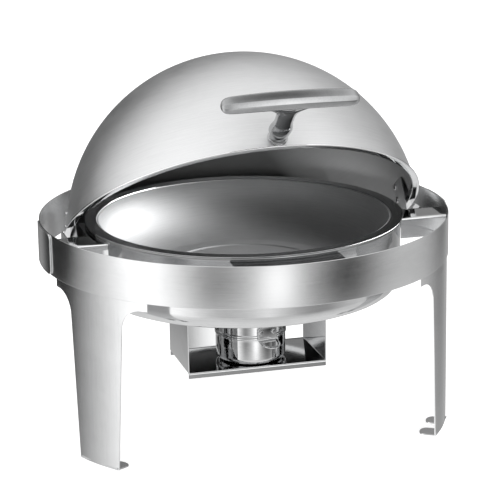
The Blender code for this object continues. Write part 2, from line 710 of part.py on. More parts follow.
# ---------------------------------------------------------------- burner bracket and fuel holder
def make_burner_bracket():
    """The U-shaped sheet under the water pan, with turned-down lips and top flanges."""
    half, t = BRACKET_HALF, SHEET
    floor = BRACKET_FLOOR
    flange_top = WATER_BOTTOM - 4 * MM
    depth = BRACKET_REAR - BRACKET_FRONT
    right = [(half, floor - t), (half, flange_top), (half - BRACKET_FLANGE, flange_top),
             (half - BRACKET_FLANGE, flange_top - t), (half - t, flange_top - t),
             (half - t, floor)]
    left = [(-x, z) for x, z in reversed(right)]
    stand = Matrix.Translation((0, (BRACKET_REAR + BRACKET_FRONT) / 2, 0))
    upright = Matrix.Rotation(math.radians(90), 4, "X")
    mesh = flat_plate("burner_bracket", right + left, depth, stand @ upright)
    bracket = add_object("burner_bracket", mesh, MIRROR)
    proud = t / 2
    for part, y in (("front", BRACKET_FRONT), ("rear", BRACKET_REAR)):
        lip = block(f"bracket_lip_{part}", (0.5 * MM - half, y - proud, BRACKET_LIP),
                    (half - 0.5 * MM, y + proud, floor - t / 3))
        boolean(bracket, lip, "UNION")
    drill = turned_mesh([(0, 0.02), (2.8 * MM, 0.02), (2.8 * MM, 0), (0, 0)], 12)
    holes = [(drill, Matrix.Translation((x, y, flange_top - 0.01))) for x, y in stud_places()]
    boolean(bracket, cutter_group("bracket_stud_holes", holes))


def stud_places():
    """Where the bracket's four studs stand under the water pan."""
    x = BRACKET_HALF - 0.6 * BRACKET_FLANGE
    return [(side * x, y) for side in (-1, 1) for y in STUD_Y]


def make_bracket_fasteners():
    """Weld studs under the water pan and the nuts that hold the bracket to them."""
    top = WATER_BOTTOM - GAP
    flange_top = WATER_BOTTOM - 4 * MM
    under = flange_top - SHEET - GAP
    length = top - (under - 7 * MM)
    stud = turned_mesh([(0, length), (5.0 * MM, length), (5.0 * MM, length - 3.0 * MM),
                        (2.4 * MM, length - 3.0 * MM), (2.4 * MM, 0), (0, 0)], 12)
    nut = turned_mesh([(5.0 * MM, 4.0 * MM), (5.0 * MM, 0), (3.1 * MM, 0),
                       (3.1 * MM, 4.0 * MM)], 6, loop=True)
    places = stud_places()
    studs = [(stud, Matrix.Translation((x, y, top - length))) for x, y in places]
    nuts = [(nut, Matrix.Translation((x, y, under - 4 * MM))) for x, y in places]
    placed_all("bracket_stud", studs, ZINC)
    placed_all("bracket_nut", nuts, ZINC)


CUP_STEPS = 28


def in_cup_frame(obj, axis):
    """Parent a piece that is modelled about the cup's axis with Z from the floor."""
    obj.parent = axis
    obj.matrix_parent_inverse = Matrix.Translation((0, 0, -CUP_BOTTOM))
    return obj


def make_fuel_holder(axis):
    """Cup, collar and fuel tin, turned about the holder's own axis."""
    t = 0.8 * MM
    corner = 8 * MM
    wall = CUP_R - t
    cup = [(0, CUP_BOTTOM + t)]
    cup += arc((CUP_R - corner, CUP_BOTTOM + corner), corner - t, -90.0, 0.0, 3)
    cup += [(wall, CUP_TOP), (CUP_R + 0.9 * MM, CUP_TOP), (CUP_R + 0.9 * MM, CUP_TOP - 2 * MM),
            (CUP_R, CUP_TOP - 2.6 * MM)]
    cup += arc((CUP_R - corner, CUP_BOTTOM + corner), corner, 0.0, -90.0, 3)
    cup.append((0, CUP_BOTTOM))
    in_cup_frame(turned("burner_cup", cup, CUP_STEPS, MIRROR, loop=False), axis)

    low = CUP_TOP + GAP
    outer = CUP_R - 0.3 * MM
    collar = [(COLLAR_MOUTH, COLLAR_TOP), (outer - 2 * MM, COLLAR_TOP), (outer, COLLAR_TOP - 2 * MM),
              (outer, low + 2.4 * MM), (CUP_R + 0.9 * MM, low + 1.9 * MM), (CUP_R + 0.9 * MM, low),
              (outer - t, low), (outer - t, COLLAR_TOP - 2.6 * MM), (outer - 2.6 * MM, COLLAR_TOP - t),
              (COLLAR_MOUTH, COLLAR_TOP - t)]
    ring = in_cup_frame(turned("burner_collar", collar, CUP_STEPS, MIRROR), axis)
    pivot = rod("damper_hole", 2.5 * MM, damper_pivot() - Vector((0, 0, 4 * MM)), (0, 0, 1), 8 * MM)
    boolean(ring, in_cup_frame(pivot, axis))
    holes = cutter_group("cup_handle_holes", cup_handle_rivets(hole=True))
    boolean(ring, in_cup_frame(holes, axis))

    tin_r = 36.5 * MM
    tin_low = CUP_BOTTOM + t + GAP
    tin_top = 126 * MM
    tin = [(0, tin_low + t), (tin_r - 4.4 * MM, tin_low + t), (tin_r - t, tin_low + 4.4 * MM),
           (tin_r - t, tin_top - t),
           (24 * MM, tin_top - t), (24 * MM, tin_top), (tin_r + 0.6 * MM, tin_top),
           (tin_r + 0.6 * MM, tin_top - 2 * MM), (tin_r, tin_top - 2.6 * MM),
           (tin_r, tin_low + 4 * MM), (tin_r - 4 * MM, tin_low), (0, tin_low)]
    in_cup_frame(turned("fuel_tin", tin, 20, TIN, loop=False), axis)


def cup_handle_frame():
    """Matrix of the cup handle: X sideways, Y outwards from the cup, Z up."""
    out = front_angle(HANDLE_AZIMUTH)
    side = Vector((-out.y, out.x, 0))
    return Matrix(((side.x, out.x, 0, 0), (side.y, out.y, 0, 0), (0, 0, 1, 0), (0, 0, 0, 1)))


def cup_handle_rivets(hole):
    """The two rivets of the cup's handle, or the holes they pass through."""
    if hole:
        profile = [(0, 12 * MM), (1.9 * MM, 12 * MM), (1.9 * MM, 0), (0, 0)]
        start = 36 * MM
    else:
        profile = [(0, 6.4 * MM), (2.6 * MM, 6.4 * MM), (3.6 * MM, 5.7 * MM), (3.6 * MM, 5.0 * MM),
                   (1.6 * MM, 5.0 * MM), (1.6 * MM, 0), (0, 0)]
        start = 40.6 * MM
    piece = turned_mesh(profile, 10)
    frame = cup_handle_frame()
    out = frame @ Vector((0, 1, 0))
    places = [frame @ Vector((x, start, 121 * MM)) for x in (-8.5 * MM, 8.5 * MM)]
    return [(piece, aligned(at, out)) for at in places]


def make_cup_handle(axis):
    """The fuel holder's side handle: a riveted tab bent out into a D-shaped finger loop."""
    frame = cup_handle_frame()
    t = 1.0 * MM
    half = 12.5 * MM
    seat = 44.3 * MM
    face = Matrix(((1, 0, 0, 0), (0, 0, 1, seat + t / 2), (0, 1, 0, 0), (0, 0, 0, 1)))
    low, high = 110.4 * MM, 127 * MM
    outline = [(-half, low), (half, low), (half, high - 4 * MM), (half - 4 * MM, high),
               (4 * MM - half, high), (-half, high - 4 * MM)]
    holes = [circle((x, 121 * MM), 1.9 * MM, 10) for x in (-8.5 * MM, 8.5 * MM)]
    tab = flat_plate("cup_handle", outline, t, frame @ face, holes)
    handle = in_cup_frame(add_object("cup_handle", tab, MIRROR), axis)
    bend = Matrix.Translation((0, seat + t / 2, low + t / 2))
    tilt = Matrix.Rotation(math.radians(-14), 4, "X")
    loop = [(-half, -t / 2), (half, -t / 2), *arc((0, 8 * MM), (half, 13 * MM), 0.0, 180.0, 10)]
    finger = [(-half + 4 * MM, 5 * MM), (half - 4 * MM, 5 * MM),
              *arc((0, 9 * MM), (half - 4 * MM, 8 * MM), 0.0, 180.0, 8)]
    shape = flat_plate("cup_handle_loop", loop, t, frame @ bend @ tilt, [finger])
    boolean(handle, in_cup_frame(add_object("cup_handle_loop", shape), axis), "UNION")
    for rivet in placed_all("cup_handle_rivet", cup_handle_rivets(hole=False), ZINC):
        in_cup_frame(rivet, axis)


def damper_pivot():
    """Where the damper's rivet stands on the collar's top, in the cup's frame."""
    return Vector((-DAMPER_PIVOT, 0, COLLAR_TOP))


def make_damper(cup_axis, axis):
    """The swinging cover over the flame opening, and the rivet it turns on."""
    t = 1.0 * MM
    lever = arc((DAMPER_PIVOT, 0), DAMPER_R, -160.0, 160.0, 24)
    hinge = arc((0, 0), 7.0 * MM, 120.0, 240.0, 6)
    hole = circle((0, 0), 2.3 * MM, 12)
    place = Matrix.Translation((0, 0, GAP + t / 2))
    plate = flat_plate("damper_plate", lever + hinge, t, place, [hole])
    cover = add_object("damper_plate", plate, MIRROR, axis)
    tip = DAMPER_PIVOT + DAMPER_R
    tab = block("damper_tab", (tip - 2 * MM, -5 * MM, GAP), (tip - 1 * MM, 5 * MM, 9 * MM),
                parent=axis)
    boolean(cover, tab, "UNION")
    rivet = turned_mesh([(0, 3.4 * MM), (2.8 * MM, 3.4 * MM), (4.2 * MM, 2.6 * MM),
                         (4.2 * MM, 1.6 * MM), (2.0 * MM, 1.6 * MM), (2.0 * MM, -1.2 * MM),
                         (4.0 * MM, -1.2 * MM), (4.0 * MM, -2.2 * MM), (0, -2.2 * MM)], 12)
    at = Matrix.Translation(damper_pivot())
    in_cup_frame(placed("damper_rivet", rivet, at, ZINC), cup_axis)


# ---------------------------------------------------------------- assembly
def build():
    make_band()
    for name, angle in LEG_ANGLES.items():
        make_leg(name, angle)
    for side, word in ((-1, "left"), (1, "right")):
        make_side_plate(f"side_plate_{word}", side)
        make_housing(f"hinge_housing_{word}", side)
    make_housing_screws()
    make_front_bracket()
    make_hinge_pins()

    lid_axis = empty("lid_axis", (0, 0, HINGE_Z))
    lid_axis.rotation_euler = (-math.radians(LID_OPEN), 0, 0)
    make_lid_dome(lid_axis)
    make_lid_rim(lid_axis)
    make_hinge_arm("hinge_arm_left", -1, lid_axis)
    make_hinge_arm("hinge_arm_right", 1, lid_axis)
    make_arm_rivets(lid_axis)
    make_handle(lid_axis)

    make_water_pan()
    make_food_pan(empty("food_pan_axis", (0, 0, FOOD_RIM_Z)))

    make_burner_bracket()
    make_bracket_fasteners()
    cup_axis = empty("cup_axis", (CUP_X, CUP_Y, CUP_BOTTOM))
    make_fuel_holder(cup_axis)
    make_cup_handle(cup_axis)
    damper_axis = empty("damper_axis", damper_pivot() - Vector((0, 0, CUP_BOTTOM)), cup_axis)
    make_damper(cup_axis, damper_axis)
    bpy.context.view_layer.update()


build()
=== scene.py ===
"""Looks of the round roll-top chafing dish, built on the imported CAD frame.

Every CAD node is replaced by a smooth, detailed piece of the same size and place. Lengths are
in metres and angles in degrees. The front of the dish is -Y and the hinge axis runs along X.
"""

import json
import math

import bmesh
import bpy
from mathutils import Matrix, Vector

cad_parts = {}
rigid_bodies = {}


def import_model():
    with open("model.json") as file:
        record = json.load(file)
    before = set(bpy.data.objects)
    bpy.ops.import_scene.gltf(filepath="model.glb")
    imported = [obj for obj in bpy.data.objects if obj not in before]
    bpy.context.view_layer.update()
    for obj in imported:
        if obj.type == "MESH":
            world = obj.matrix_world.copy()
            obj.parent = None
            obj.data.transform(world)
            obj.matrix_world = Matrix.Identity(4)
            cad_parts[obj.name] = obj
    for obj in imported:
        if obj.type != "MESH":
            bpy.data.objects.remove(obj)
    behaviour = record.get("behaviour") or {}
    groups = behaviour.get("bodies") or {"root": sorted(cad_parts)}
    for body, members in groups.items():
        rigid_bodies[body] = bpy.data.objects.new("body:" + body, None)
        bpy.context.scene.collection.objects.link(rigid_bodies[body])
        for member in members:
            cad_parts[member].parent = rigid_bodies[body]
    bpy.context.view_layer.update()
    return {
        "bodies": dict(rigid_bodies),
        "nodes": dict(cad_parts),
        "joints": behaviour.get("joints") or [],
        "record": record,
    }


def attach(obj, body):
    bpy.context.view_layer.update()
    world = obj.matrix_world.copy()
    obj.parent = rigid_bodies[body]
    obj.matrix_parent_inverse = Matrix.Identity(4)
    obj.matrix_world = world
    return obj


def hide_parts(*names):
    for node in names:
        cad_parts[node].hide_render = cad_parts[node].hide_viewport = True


for old in list(bpy.data.objects):
    bpy.data.objects.remove(old, do_unlink=True)

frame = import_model()

MM = 0.001
HINGE_Z = 237.0 * MM
LID_R = 215.8 * MM                  # outside of the lid's shell
LID_T = 1.0 * MM
PAN_RIM_R = 178.9 * MM              # where the food pan's flat rim begins
BEAD_LOW = 250.9 * MM               # where the water pan's rolled edge begins
LIP_TOP = 76.0 * MM                 # where the tray's turned-down lips begin
LID = Matrix.Translation((0, 0, HINGE_Z)) @ Matrix.Rotation(math.radians(-35.8), 4, "X")
CUP = Matrix.Translation((3.0 * MM, -12.0 * MM, 0))
IDENTITY = Matrix.Identity(4)


# ---------------------------------------------------------------- node helpers
def link(tree, source, target):
    tree.links.new(source, target)


def math_node(tree, operation, first, second=None, third=None):
    """A Math node; each input is a number or another node's output."""
    node = tree.nodes.new("ShaderNodeMath")
    node.operation = operation
    for i, value in enumerate((first, second, third)):
        if value is None:
            continue
        if isinstance(value, (int, float)):
            node.inputs[i].default_value = value
        else:
            link(tree, value, node.inputs[i])
    return node.outputs[0]


def noise(tree, vector, scale, detail, rough, distortion=0.0):
    node = tree.nodes.new("ShaderNodeTexNoise")
    node.inputs["Scale"].default_value = scale
    node.inputs["Detail"].default_value = detail
    node.inputs["Roughness"].default_value = rough
    node.inputs["Distortion"].default_value = distortion
    link(tree, vector, node.inputs["Vector"])
    return node.outputs["Fac"]


def scaled(tree, vector, scale):
    node = tree.nodes.new("ShaderNodeMapping")
    node.inputs["Scale"].default_value = scale
    link(tree, vector, node.inputs["Vector"])
    return node.outputs["Vector"]


def scaled_by(tree, vector, amount):
    """A vector or colour multiplied by a number socket."""
    node = tree.nodes.new("ShaderNodeVectorMath")
    node.operation = "SCALE"
    link(tree, vector, node.inputs[0])
    link(tree, amount, node.inputs["Scale"])
    return node.outputs["Vector"]


def length(tree, vector):
    """The length of a vector socket."""
    node = tree.nodes.new("ShaderNodeVectorMath")
    node.operation = "LENGTH"
    link(tree, vector, node.inputs[0])
    return node.outputs["Value"]


def height(tree, place):
    """The Z of a place."""
    split = tree.nodes.new("ShaderNodeSeparateXYZ")
    link(tree, place, split.inputs[0])
    return split.outputs[2]


def two_tone(tree, factor, dark, light):
    """A colour between dark and light, by a factor socket."""
    node = tree.nodes.new("ShaderNodeMix")
    node.data_type = "RGBA"
    node.inputs["A"].default_value = (*dark, 1.0)
    node.inputs["B"].default_value = (*light, 1.0)
    link(tree, factor, node.inputs["Factor"])
    return node.outputs["Result"]


def bump(tree, relief, distance, normal=None):
    """A surface normal bent by a relief socket, on top of an earlier normal."""
    node = tree.nodes.new("ShaderNodeBump")
    node.inputs["Strength"].default_value = 1.0
    node.inputs["Distance"].default_value = distance
    link(tree, relief, node.inputs["Height"])
    if normal is not None:
        link(tree, normal, node.inputs["Normal"])
    return node.outputs["Normal"]


def ranged(tree, value, low, high, out_low, out_high):
    node = tree.nodes.new("ShaderNodeMapRange")
    node.interpolation_type = "SMOOTHSTEP"
    node.inputs["From Min"].default_value = low
    node.inputs["From Max"].default_value = high
    node.inputs["To Min"].default_value = out_low
    node.inputs["To Max"].default_value = out_high
    link(tree, value, node.inputs["Value"])
    return node.outputs["Result"]


def turned_vector(tree, vector, around, across):
    """Coordinates that follow a turned piece: slow around its Z axis and fast across it."""
    split = tree.nodes.new("ShaderNodeSeparateXYZ")
    link(tree, vector, split.inputs[0])
    x, y, z = split.outputs
    square = math_node(tree, "ADD", math_node(tree, "MULTIPLY", x, x),
                       math_node(tree, "MULTIPLY", y, y))
    radius = math_node(tree, "SQRT", square)
    join = tree.nodes.new("ShaderNodeCombineXYZ")
    link(tree, math_node(tree, "MULTIPLY", radius, across), join.inputs[0])
    link(tree, math_node(tree, "MULTIPLY", math_node(tree, "ARCTAN2", y, x), around), join.inputs[1])
    link(tree, math_node(tree, "MULTIPLY", z, across), join.inputs[2])
    return join.outputs[0]


# ---------------------------------------------------------------- materials
def local_place(tree, frame):
    """Object coordinates seen from a piece's own frame."""
    place = tree.nodes.new("ShaderNodeTexCoord").outputs["Object"]
    if frame == IDENTITY:
        return place
    back = frame.inverted()
    node = tree.nodes.new("ShaderNodeMapping")
    node.inputs["Location"].default_value = back.to_translation()
    node.inputs["Rotation"].default_value = back.to_euler()
    link(tree, place, node.inputs["Vector"])
    return node.outputs["Vector"]


def inside_lid(tree, place):
    """One on the lid's inner face, zero on its outer face; the dome darkens it there as painted shade
    inside the lid.
    """
    return math_node(tree, "LESS_THAN", length(tree, place), LID_R - LID_T / 2)


def pan_rim(tree, place):
    """One on the flat rim of the food pan, zero inside it; the rim is lifted there as painted light over
    the bowl's painted shade.
    """
    flat = length(tree, scaled(tree, place, (1.0, 1.0, 0.0)))
    return math_node(tree, "GREATER_THAN", flat, PAN_RIM_R)


def rolled_edge(tree, place):
    """One on the water pan's rolled edge, zero on its wall; the edge is darkened there as painted shade
    under the food pan's rim.
    """
    return math_node(tree, "GREATER_THAN", height(tree, place), BEAD_LOW)


def tray_lip(tree, place):
    """One on the tray's two turned-down lips, zero above them; the lips are darkened there as painted
    shade over what they reflect.
    """
    return math_node(tree, "LESS_THAN", height(tree, place), LIP_TOP)


def new_material(name):
    """A new material with its node tree and its shader."""
    mat = bpy.data.materials.new(name)
    mat.use_nodes = True
    return mat, mat.node_tree, mat.node_tree.nodes["Principled BSDF"]


# how each grain stretches its noise; a turned grain has coordinates of its own
GRAINS = {"none": (700.0, 700.0, 700.0), "fine": (1400.0, 1400.0, 1400.0),
          "along_x": (14.0, 1500.0, 1500.0), "along_z": (1500.0, 1500.0, 14.0)}


def metal(name, colour, rough, grain, grain_depth, smudge, wave, frame=IDENTITY,
          part=None, part_tint=1.0, part_rough=1.0):
    """A metal with polishing grain, wiped smudges and a slight unevenness of the sheet.

    colour is (dark, light) grey, rough is (low, high), and grain is turned or a name in GRAINS.
    A turned grain runs round the Z axis of frame. part picks an area whose colour and roughness
    are multiplied by part_tint and part_rough; part_tint below one is painted shade on that area, and
    above one painted light."""
    mat, tree, shader = new_material(name)
    shader.inputs["Metallic"].default_value = 1.0
    place = local_place(tree, frame)

    wiped = noise(tree, scaled(tree, place, (9.0, 9.0, 17.0)), 1.0, 5.0, 0.62, 0.8)
    spots = noise(tree, place, 130.0, 4.0, 0.6)
    worn = math_node(tree, "ADD", math_node(tree, "MULTIPLY", wiped, 0.75),
                     math_node(tree, "MULTIPLY", spots, 0.25))
    if grain == "turned":
        lines_at = turned_vector(tree, place, 5.0, 1300.0)
    else:
        lines_at = scaled(tree, place, GRAINS[grain])
    lines = noise(tree, lines_at, 1.0, 3.0, 0.65)

    level = math_node(tree, "ADD", math_node(tree, "MULTIPLY", worn, smudge),
                      math_node(tree, "MULTIPLY", lines, 1.0 - smudge))
    polish = ranged(tree, level, 0.32, 0.68, rough[0], rough[1])

    shade = two_tone(tree, ranged(tree, level, 0.36, 0.62, 0.0, 1.0), *colour)
    if part is not None:
        picked = part(tree, place)
        polish = math_node(tree, "MULTIPLY", polish,
                           ranged(tree, picked, 0.0, 1.0, 1.0, part_rough))
        shade = scaled_by(tree, shade, ranged(tree, picked, 0.0, 1.0, 1.0, part_tint))
    link(tree, polish, shader.inputs["Roughness"])
    link(tree, shade, shader.inputs["Base Color"])

    normal = None
    if wave > 0.0:
        sway = noise(tree, scaled(tree, place, (7.0, 7.0, 11.0)), 1.0, 2.0, 0.4)
        normal = bump(tree, sway, wave)
    if grain_depth > 0.0:
        normal = bump(tree, lines, grain_depth, normal)
    link(tree, normal, shader.inputs["Normal"])
    return mat


def grey(low, high):
    """Two near-neutral greys, slightly cool, for a metal's darker and lighter patches."""
    cool = 0.004
    return tuple((v - cool, v, v + cool) for v in (low, high))


BAND_STEEL = metal("band_steel", grey(0.74, 0.80), (0.15, 0.21), "turned", 0.6e-6, 0.6, 0.0)
LEG_STEEL = metal("leg_steel", grey(0.74, 0.80), (0.15, 0.21), "along_z", 0.6e-6, 0.6, 0.0)
MIRROR = metal("mirror_steel", grey(0.76, 0.85), (0.04, 0.10), "none", 0.2e-6, 0.8, 2.0e-4)
ARM_STEEL = metal("lid_arm_steel", grey(0.62, 0.74), (0.26, 0.40), "along_z", 1.2e-6, 0.5, 0.0,
                  frame=LID)
# painted shade: the front shelf's mirror steel is darkened to 0.20-0.29 grey
SHELF_STEEL = metal("front_shelf_steel", grey(0.20, 0.29), (0.10, 0.24), "along_x", 0.6e-6, 0.7, 1.0e-4)
# painted shade: the lips are tinted 0.45 times darker than the rest of the tray
TRAY_STEEL = metal("tray_steel", grey(0.68, 0.77), (0.04, 0.09), "along_x", 0.3e-6, 0.7, 2.4e-4,
                   part=tray_lip, part_tint=0.45)
# painted shade: the rolled edge is tinted 0.45 times darker, under the food pan's rim
WATER_STEEL = metal("water_pan_steel", grey(0.66, 0.74), (0.08, 0.15), "turned", 0.5e-6, 0.6, 1.0e-4,
                    part=rolled_edge, part_tint=0.45)
CUP_STEEL = metal("cup_steel", grey(0.70, 0.80), (0.05, 0.11), "turned", 0.4e-6, 0.6, 0.6e-4, frame=CUP)
# painted shade: the lid's inner face is tinted 0.38 times darker than its outer face
DOME_STEEL = metal("dome_satin_steel", grey(0.76, 0.82), (0.36, 0.44), "turned", 1.2e-6, 0.45, 0.0,
                   frame=LID, part=inside_lid, part_tint=0.38)
# painted shade: the food pan's satin steel is painted darker than the same steel elsewhere, for shade in
# the bowl; its rim is lifted 1.25 times brighter
PAN_STEEL = metal("food_pan_satin_steel", grey(0.42, 0.49), (0.56, 0.66), "turned", 1.6e-6, 0.35, 0.0,
                  part=pan_rim, part_tint=1.25, part_rough=0.20)
CHROME = metal("cast_chrome", grey(0.36, 0.43), (0.03, 0.09), "none", 0.0, 0.8, 0.5e-4)
ZINC = metal("zinc_plated_steel", grey(0.56, 0.66), (0.18, 0.34), "fine", 1.0e-6, 0.4, 0.0)
TIN = metal("fuel_tinplate", grey(0.58, 0.68), (0.20, 0.36), "turned", 1.2e-6, 0.5, 0.0, frame=CUP)


def nylon():
    """Black moulded nylon with a fine matt grain."""
    mat, tree, shader = new_material("black_nylon")
    place = tree.nodes.new("ShaderNodeTexCoord").outputs["Object"]
    speck = noise(tree, place, 900.0, 4.0, 0.6)
    shade = two_tone(tree, ranged(tree, speck, 0.35, 0.65, 0.0, 1.0),
                     (0.012, 0.012, 0.013), (0.035, 0.035, 0.036))
    link(tree, shade, shader.inputs["Base Color"])
    link(tree, ranged(tree, speck, 0.3, 0.7, 0.38, 0.56), shader.inputs["Roughness"])
    link(tree, bump(tree, speck, 3.0e-5), shader.inputs["Normal"])
    return mat


NYLON = nylon()


# ---------------------------------------------------------------- shape helpers
def mm(*points):
    """Points, or corners with a radius, given in millimetres."""
    return [tuple(value * MM for value in point) for point in points]


def rounded(points, closed=True):
    """Replace the corners of a polyline by arcs. Points are (x, y) or (x, y, radius)."""
    count = len(points)
    result = []
    for i, point in enumerate(points):
        here = Vector(point[:2])
        radius = point[2] if len(point) > 2 else 0.0
        if radius <= 0.0 or (not closed and i in (0, count - 1)):
            result.append((here.x, here.y))
            continue
        before = (Vector(points[i - 1][:2]) - here).normalized()
        after = (Vector(points[(i + 1) % count][:2]) - here).normalized()
        half = before.angle(after) / 2
        reach = radius / math.tan(half)
        centre = here + (before + after).normalized() * (radius / math.sin(half))
        start = here + before * reach - centre
        end = here + after * reach - centre
        sweep = start.angle_signed(end)
        steps = max(3, int(math.ceil(abs(math.degrees(sweep)) / 15.0)))
        for k in range(steps + 1):
            turn = Matrix.Rotation(-sweep * k / steps, 2)
            spot = centre + turn @ start
            result.append((spot.x, spot.y))
    return result


def arc(centre, radius, start, end, count):
    """Points of an arc; radius is one number or an (x, y) pair."""
    rx, ry = radius if isinstance(radius, tuple) else (radius, radius)
    points = []
    for i in range(count + 1):
        angle = math.radians(start + (end - start) * i / count)
        points.append((centre[0] + rx * math.cos(angle), centre[1] + ry * math.sin(angle)))
    return points


def add_object(name, data):
    obj = bpy.data.objects.new(name, data)
    bpy.context.scene.collection.objects.link(obj)
    return obj


class Build:
    """Collects closed shells and turns them into one finished piece."""

    def __init__(self):
        self.edit = bmesh.new()

    def shell(self, verts, faces, matrix=IDENTITY):
        made = [self.edit.verts.new(matrix @ Vector(v)) for v in verts]
        fresh = []
        for face in faces:
            corners = []
            for index in face:
                if not corners or made[index] is not corners[-1]:
                    corners.append(made[index])
            if len(corners) > 2 and len(set(corners)) == len(corners):
                fresh.append(self.edit.faces.new(corners))
        bmesh.ops.remove_doubles(self.edit, verts=made, dist=1.0e-7)
        fresh = [f for f in fresh if f.is_valid]
        bmesh.ops.recalc_face_normals(self.edit, faces=fresh)
        return self

    def lathe(self, profile, steps=96, matrix=IDENTITY, closed=True):
        """Turn a (radius, z) profile about Z. An open profile runs from axis to axis."""
        verts = []
        for i in range(steps):
            angle = 2 * math.pi * i / steps
            c, s = math.cos(angle), math.sin(angle)
            verts += [(r * c, r * s, z) for r, z in profile]
        n = len(profile)
        faces = []
        for i in range(steps):
            a, b = i * n, ((i + 1) % steps) * n
            for k in range(n if closed else n - 1):
                m = (k + 1) % n
                faces.append((a + k, b + k, b + m, a + m))
        return self.shell(verts, faces, matrix)

    def prism(self, outline, low, high, matrix=IDENTITY):
        """Extrude an (x, y) outline from z = low to z = high."""
        n = len(outline)
        verts = [(x, y, low) for x, y in outline] + [(x, y, high) for x, y in outline]
        faces = [tuple(range(n))[::-1], tuple(range(n, 2 * n))]
        faces += [(k, (k + 1) % n, n + (k + 1) % n, n + k) for k in range(n)]
        return self.shell(verts, faces, matrix)

    def sheet(self, rows, thickness, matrix=IDENTITY):
        """A thin sheet from rows of (point, outward normal); it grows inward."""
        count, wide = len(rows), len(rows[0])
        outer = [Vector(p) for row in rows for p, _ in row]
        inner = [Vector(p) - Vector(n) * thickness for row in rows for p, n in row]
        size = count * wide
        faces = []
        for i in range(count - 1):
            for j in range(wide - 1):
                a = i * wide + j
                faces.append((a, a + 1, a + wide + 1, a + wide))
                faces.append((size + a, size + a + wide, size + a + wide + 1, size + a + 1))
        rim = list(range(wide))
        rim += [i * wide + wide - 1 for i in range(1, count)]
        rim += [(count - 1) * wide + j for j in range(wide - 2, -1, -1)]
        rim += [i * wide for i in range(count - 2, 0, -1)]
        for k, a in enumerate(rim):
            b = rim[(k + 1) % len(rim)]
            faces.append((a, b, size + b, size + a))
        return self.shell(outer + inner, faces, matrix)

    def loft(self, rings, matrix=IDENTITY):
        """Skin closed rings of points that have equal counts, and cap both ends."""
        n = len(rings[0])
        verts = [p for ring in rings for p in ring]
        faces = [tuple(range(n))[::-1], tuple(range((len(rings) - 1) * n, len(rings) * n))]
        for i in range(len(rings) - 1):
            for k in range(n):
                m = (k + 1) % n
                faces.append((i * n + k, i * n + m, (i + 1) * n + m, (i + 1) * n + k))
        return self.shell(verts, faces, matrix)

    def done(self, name, body, nodes, slot, material, place=IDENTITY, sharp=32.0, bevel=0.0):
        """Finish the piece: shading, edge rounding, material, body and CAD nodes."""
        mesh = bpy.data.meshes.new(name)
        self.edit.to_mesh(mesh)
        self.edit.free()
        mesh.transform(place)
        mesh.shade_smooth()
        mesh.set_sharp_from_angle(angle=math.radians(sharp))
        obj = add_object(name, mesh)
        mesh.materials.append(material)
        if bevel > 0.0:
            edge = obj.modifiers.new("edge", "BEVEL")
            edge.width = bevel
            edge.segments = 2
            edge.limit_method = "ANGLE"
            edge.angle_limit = math.radians(50.0)
            edge.harden_normals = True
        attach(obj, body)
        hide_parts(*nodes)


def zinc_part(name, body, node, profile, steps, at, place=IDENTITY):
    """A turned zinc-plated fixing, from an open profile that runs from axis to axis."""
    Build().lathe(rounded(profile, closed=False), steps, at, closed=False).done(
        name, body, [node], "zinc_plated", ZINC, place)


def aligned(origin, direction):
    """A matrix whose Z axis points along direction."""
    turn = Vector(direction).to_track_quat("Z", "Y").to_matrix().to_4x4()
    return Matrix.Translation(Vector(origin)) @ turn


def upright(x):
    """A matrix that stands an (x, y) outline up across X, its own X along Y, at that x."""
    return Matrix(((0, 0, 1, x), (1, 0, 0, 0), (0, 1, 0, 0), (0, 0, 0, 1)))


# the angles of a quarter bend's points after its first
BEND = [math.radians(15 * k) for k in range(1, 7)]


def front_angle(degrees):
    """The horizontal direction that many degrees from the front, towards +X."""
    angle = math.radians(degrees)
    return Vector((math.sin(angle), -math.cos(angle), 0.0))


# ---------------------------------------------------------------- band and legs
BAND_R = 248.5 * MM
BAND_T = 1.2 * MM
BAND_TOP = 260.6 * MM
BAND_LOW = 210.5 * MM


def build_band():
    """The polished band, its two edges eased."""
    r0, r1 = BAND_R - BAND_T, BAND_R
    edge = 0.5 * MM
    section = rounded([(r1, BAND_TOP, edge), (r1, BAND_LOW, edge),
                       (r0, BAND_LOW, edge), (r0, BAND_TOP, edge)])
    Build().lathe(section, 192).done("band", "frame", ["band_ring"], "mirror_steel", BAND_STEEL)


LEG_R = BAND_R - BAND_T - 0.3 * MM
LEG_T = 1.5 * MM


def leg_half_width(z):
    """Half width of the leg at height z, along its curve."""
    shoulder, shoulder_z, fillet, top, low = (78.4 * MM, 200.5 * MM, 27 * MM, 43.7 * MM, 33.5 * MM)
    if z >= shoulder_z:
        return shoulder
    under = shoulder_z - fillet
    if z >= under:
        drop = z - under
        return top + fillet - math.sqrt(max(0.0, fillet ** 2 - drop ** 2))
    return low + (top - low) * z / under


def build_leg(name, angle):
    """A leg cut from curved sheet, with its two prongs bent inwards at the foot."""
    turn = Matrix.Rotation(math.radians(angle), 4, "Z")
    heights = [0.5 * MM]
    heights += [(6 + 8.0 * i) * MM for i in range(20)]
    heights += [173.5 * MM + 27.0 * MM * math.sin(math.radians(a)) for a in range(10, 90, 8)]
    heights += [200.45 * MM, 200.5 * MM, 212 * MM, 224.2 * MM]
    columns = 28
    rows = []
    for z in reversed(heights):
        half = math.asin(leg_half_width(z) / LEG_R)
        row = []
        for j in range(columns + 1):
            a = half * (2.0 * j / columns - 1.0)
            out = Vector((math.sin(a), -math.cos(a), 0.0))
            row.append((out * LEG_R + Vector((0, 0, z)), out))
        rows.append(row)
    leg = Build().sheet(rows, LEG_T, turn)
    for side in (-1, 1):
        leg.sheet(prong_rows(side * 20.5 * MM), LEG_T, turn)
    leg.done(name, "frame", [name], "mirror_steel", LEG_STEEL, bevel=0.35 * MM, sharp=40.0)


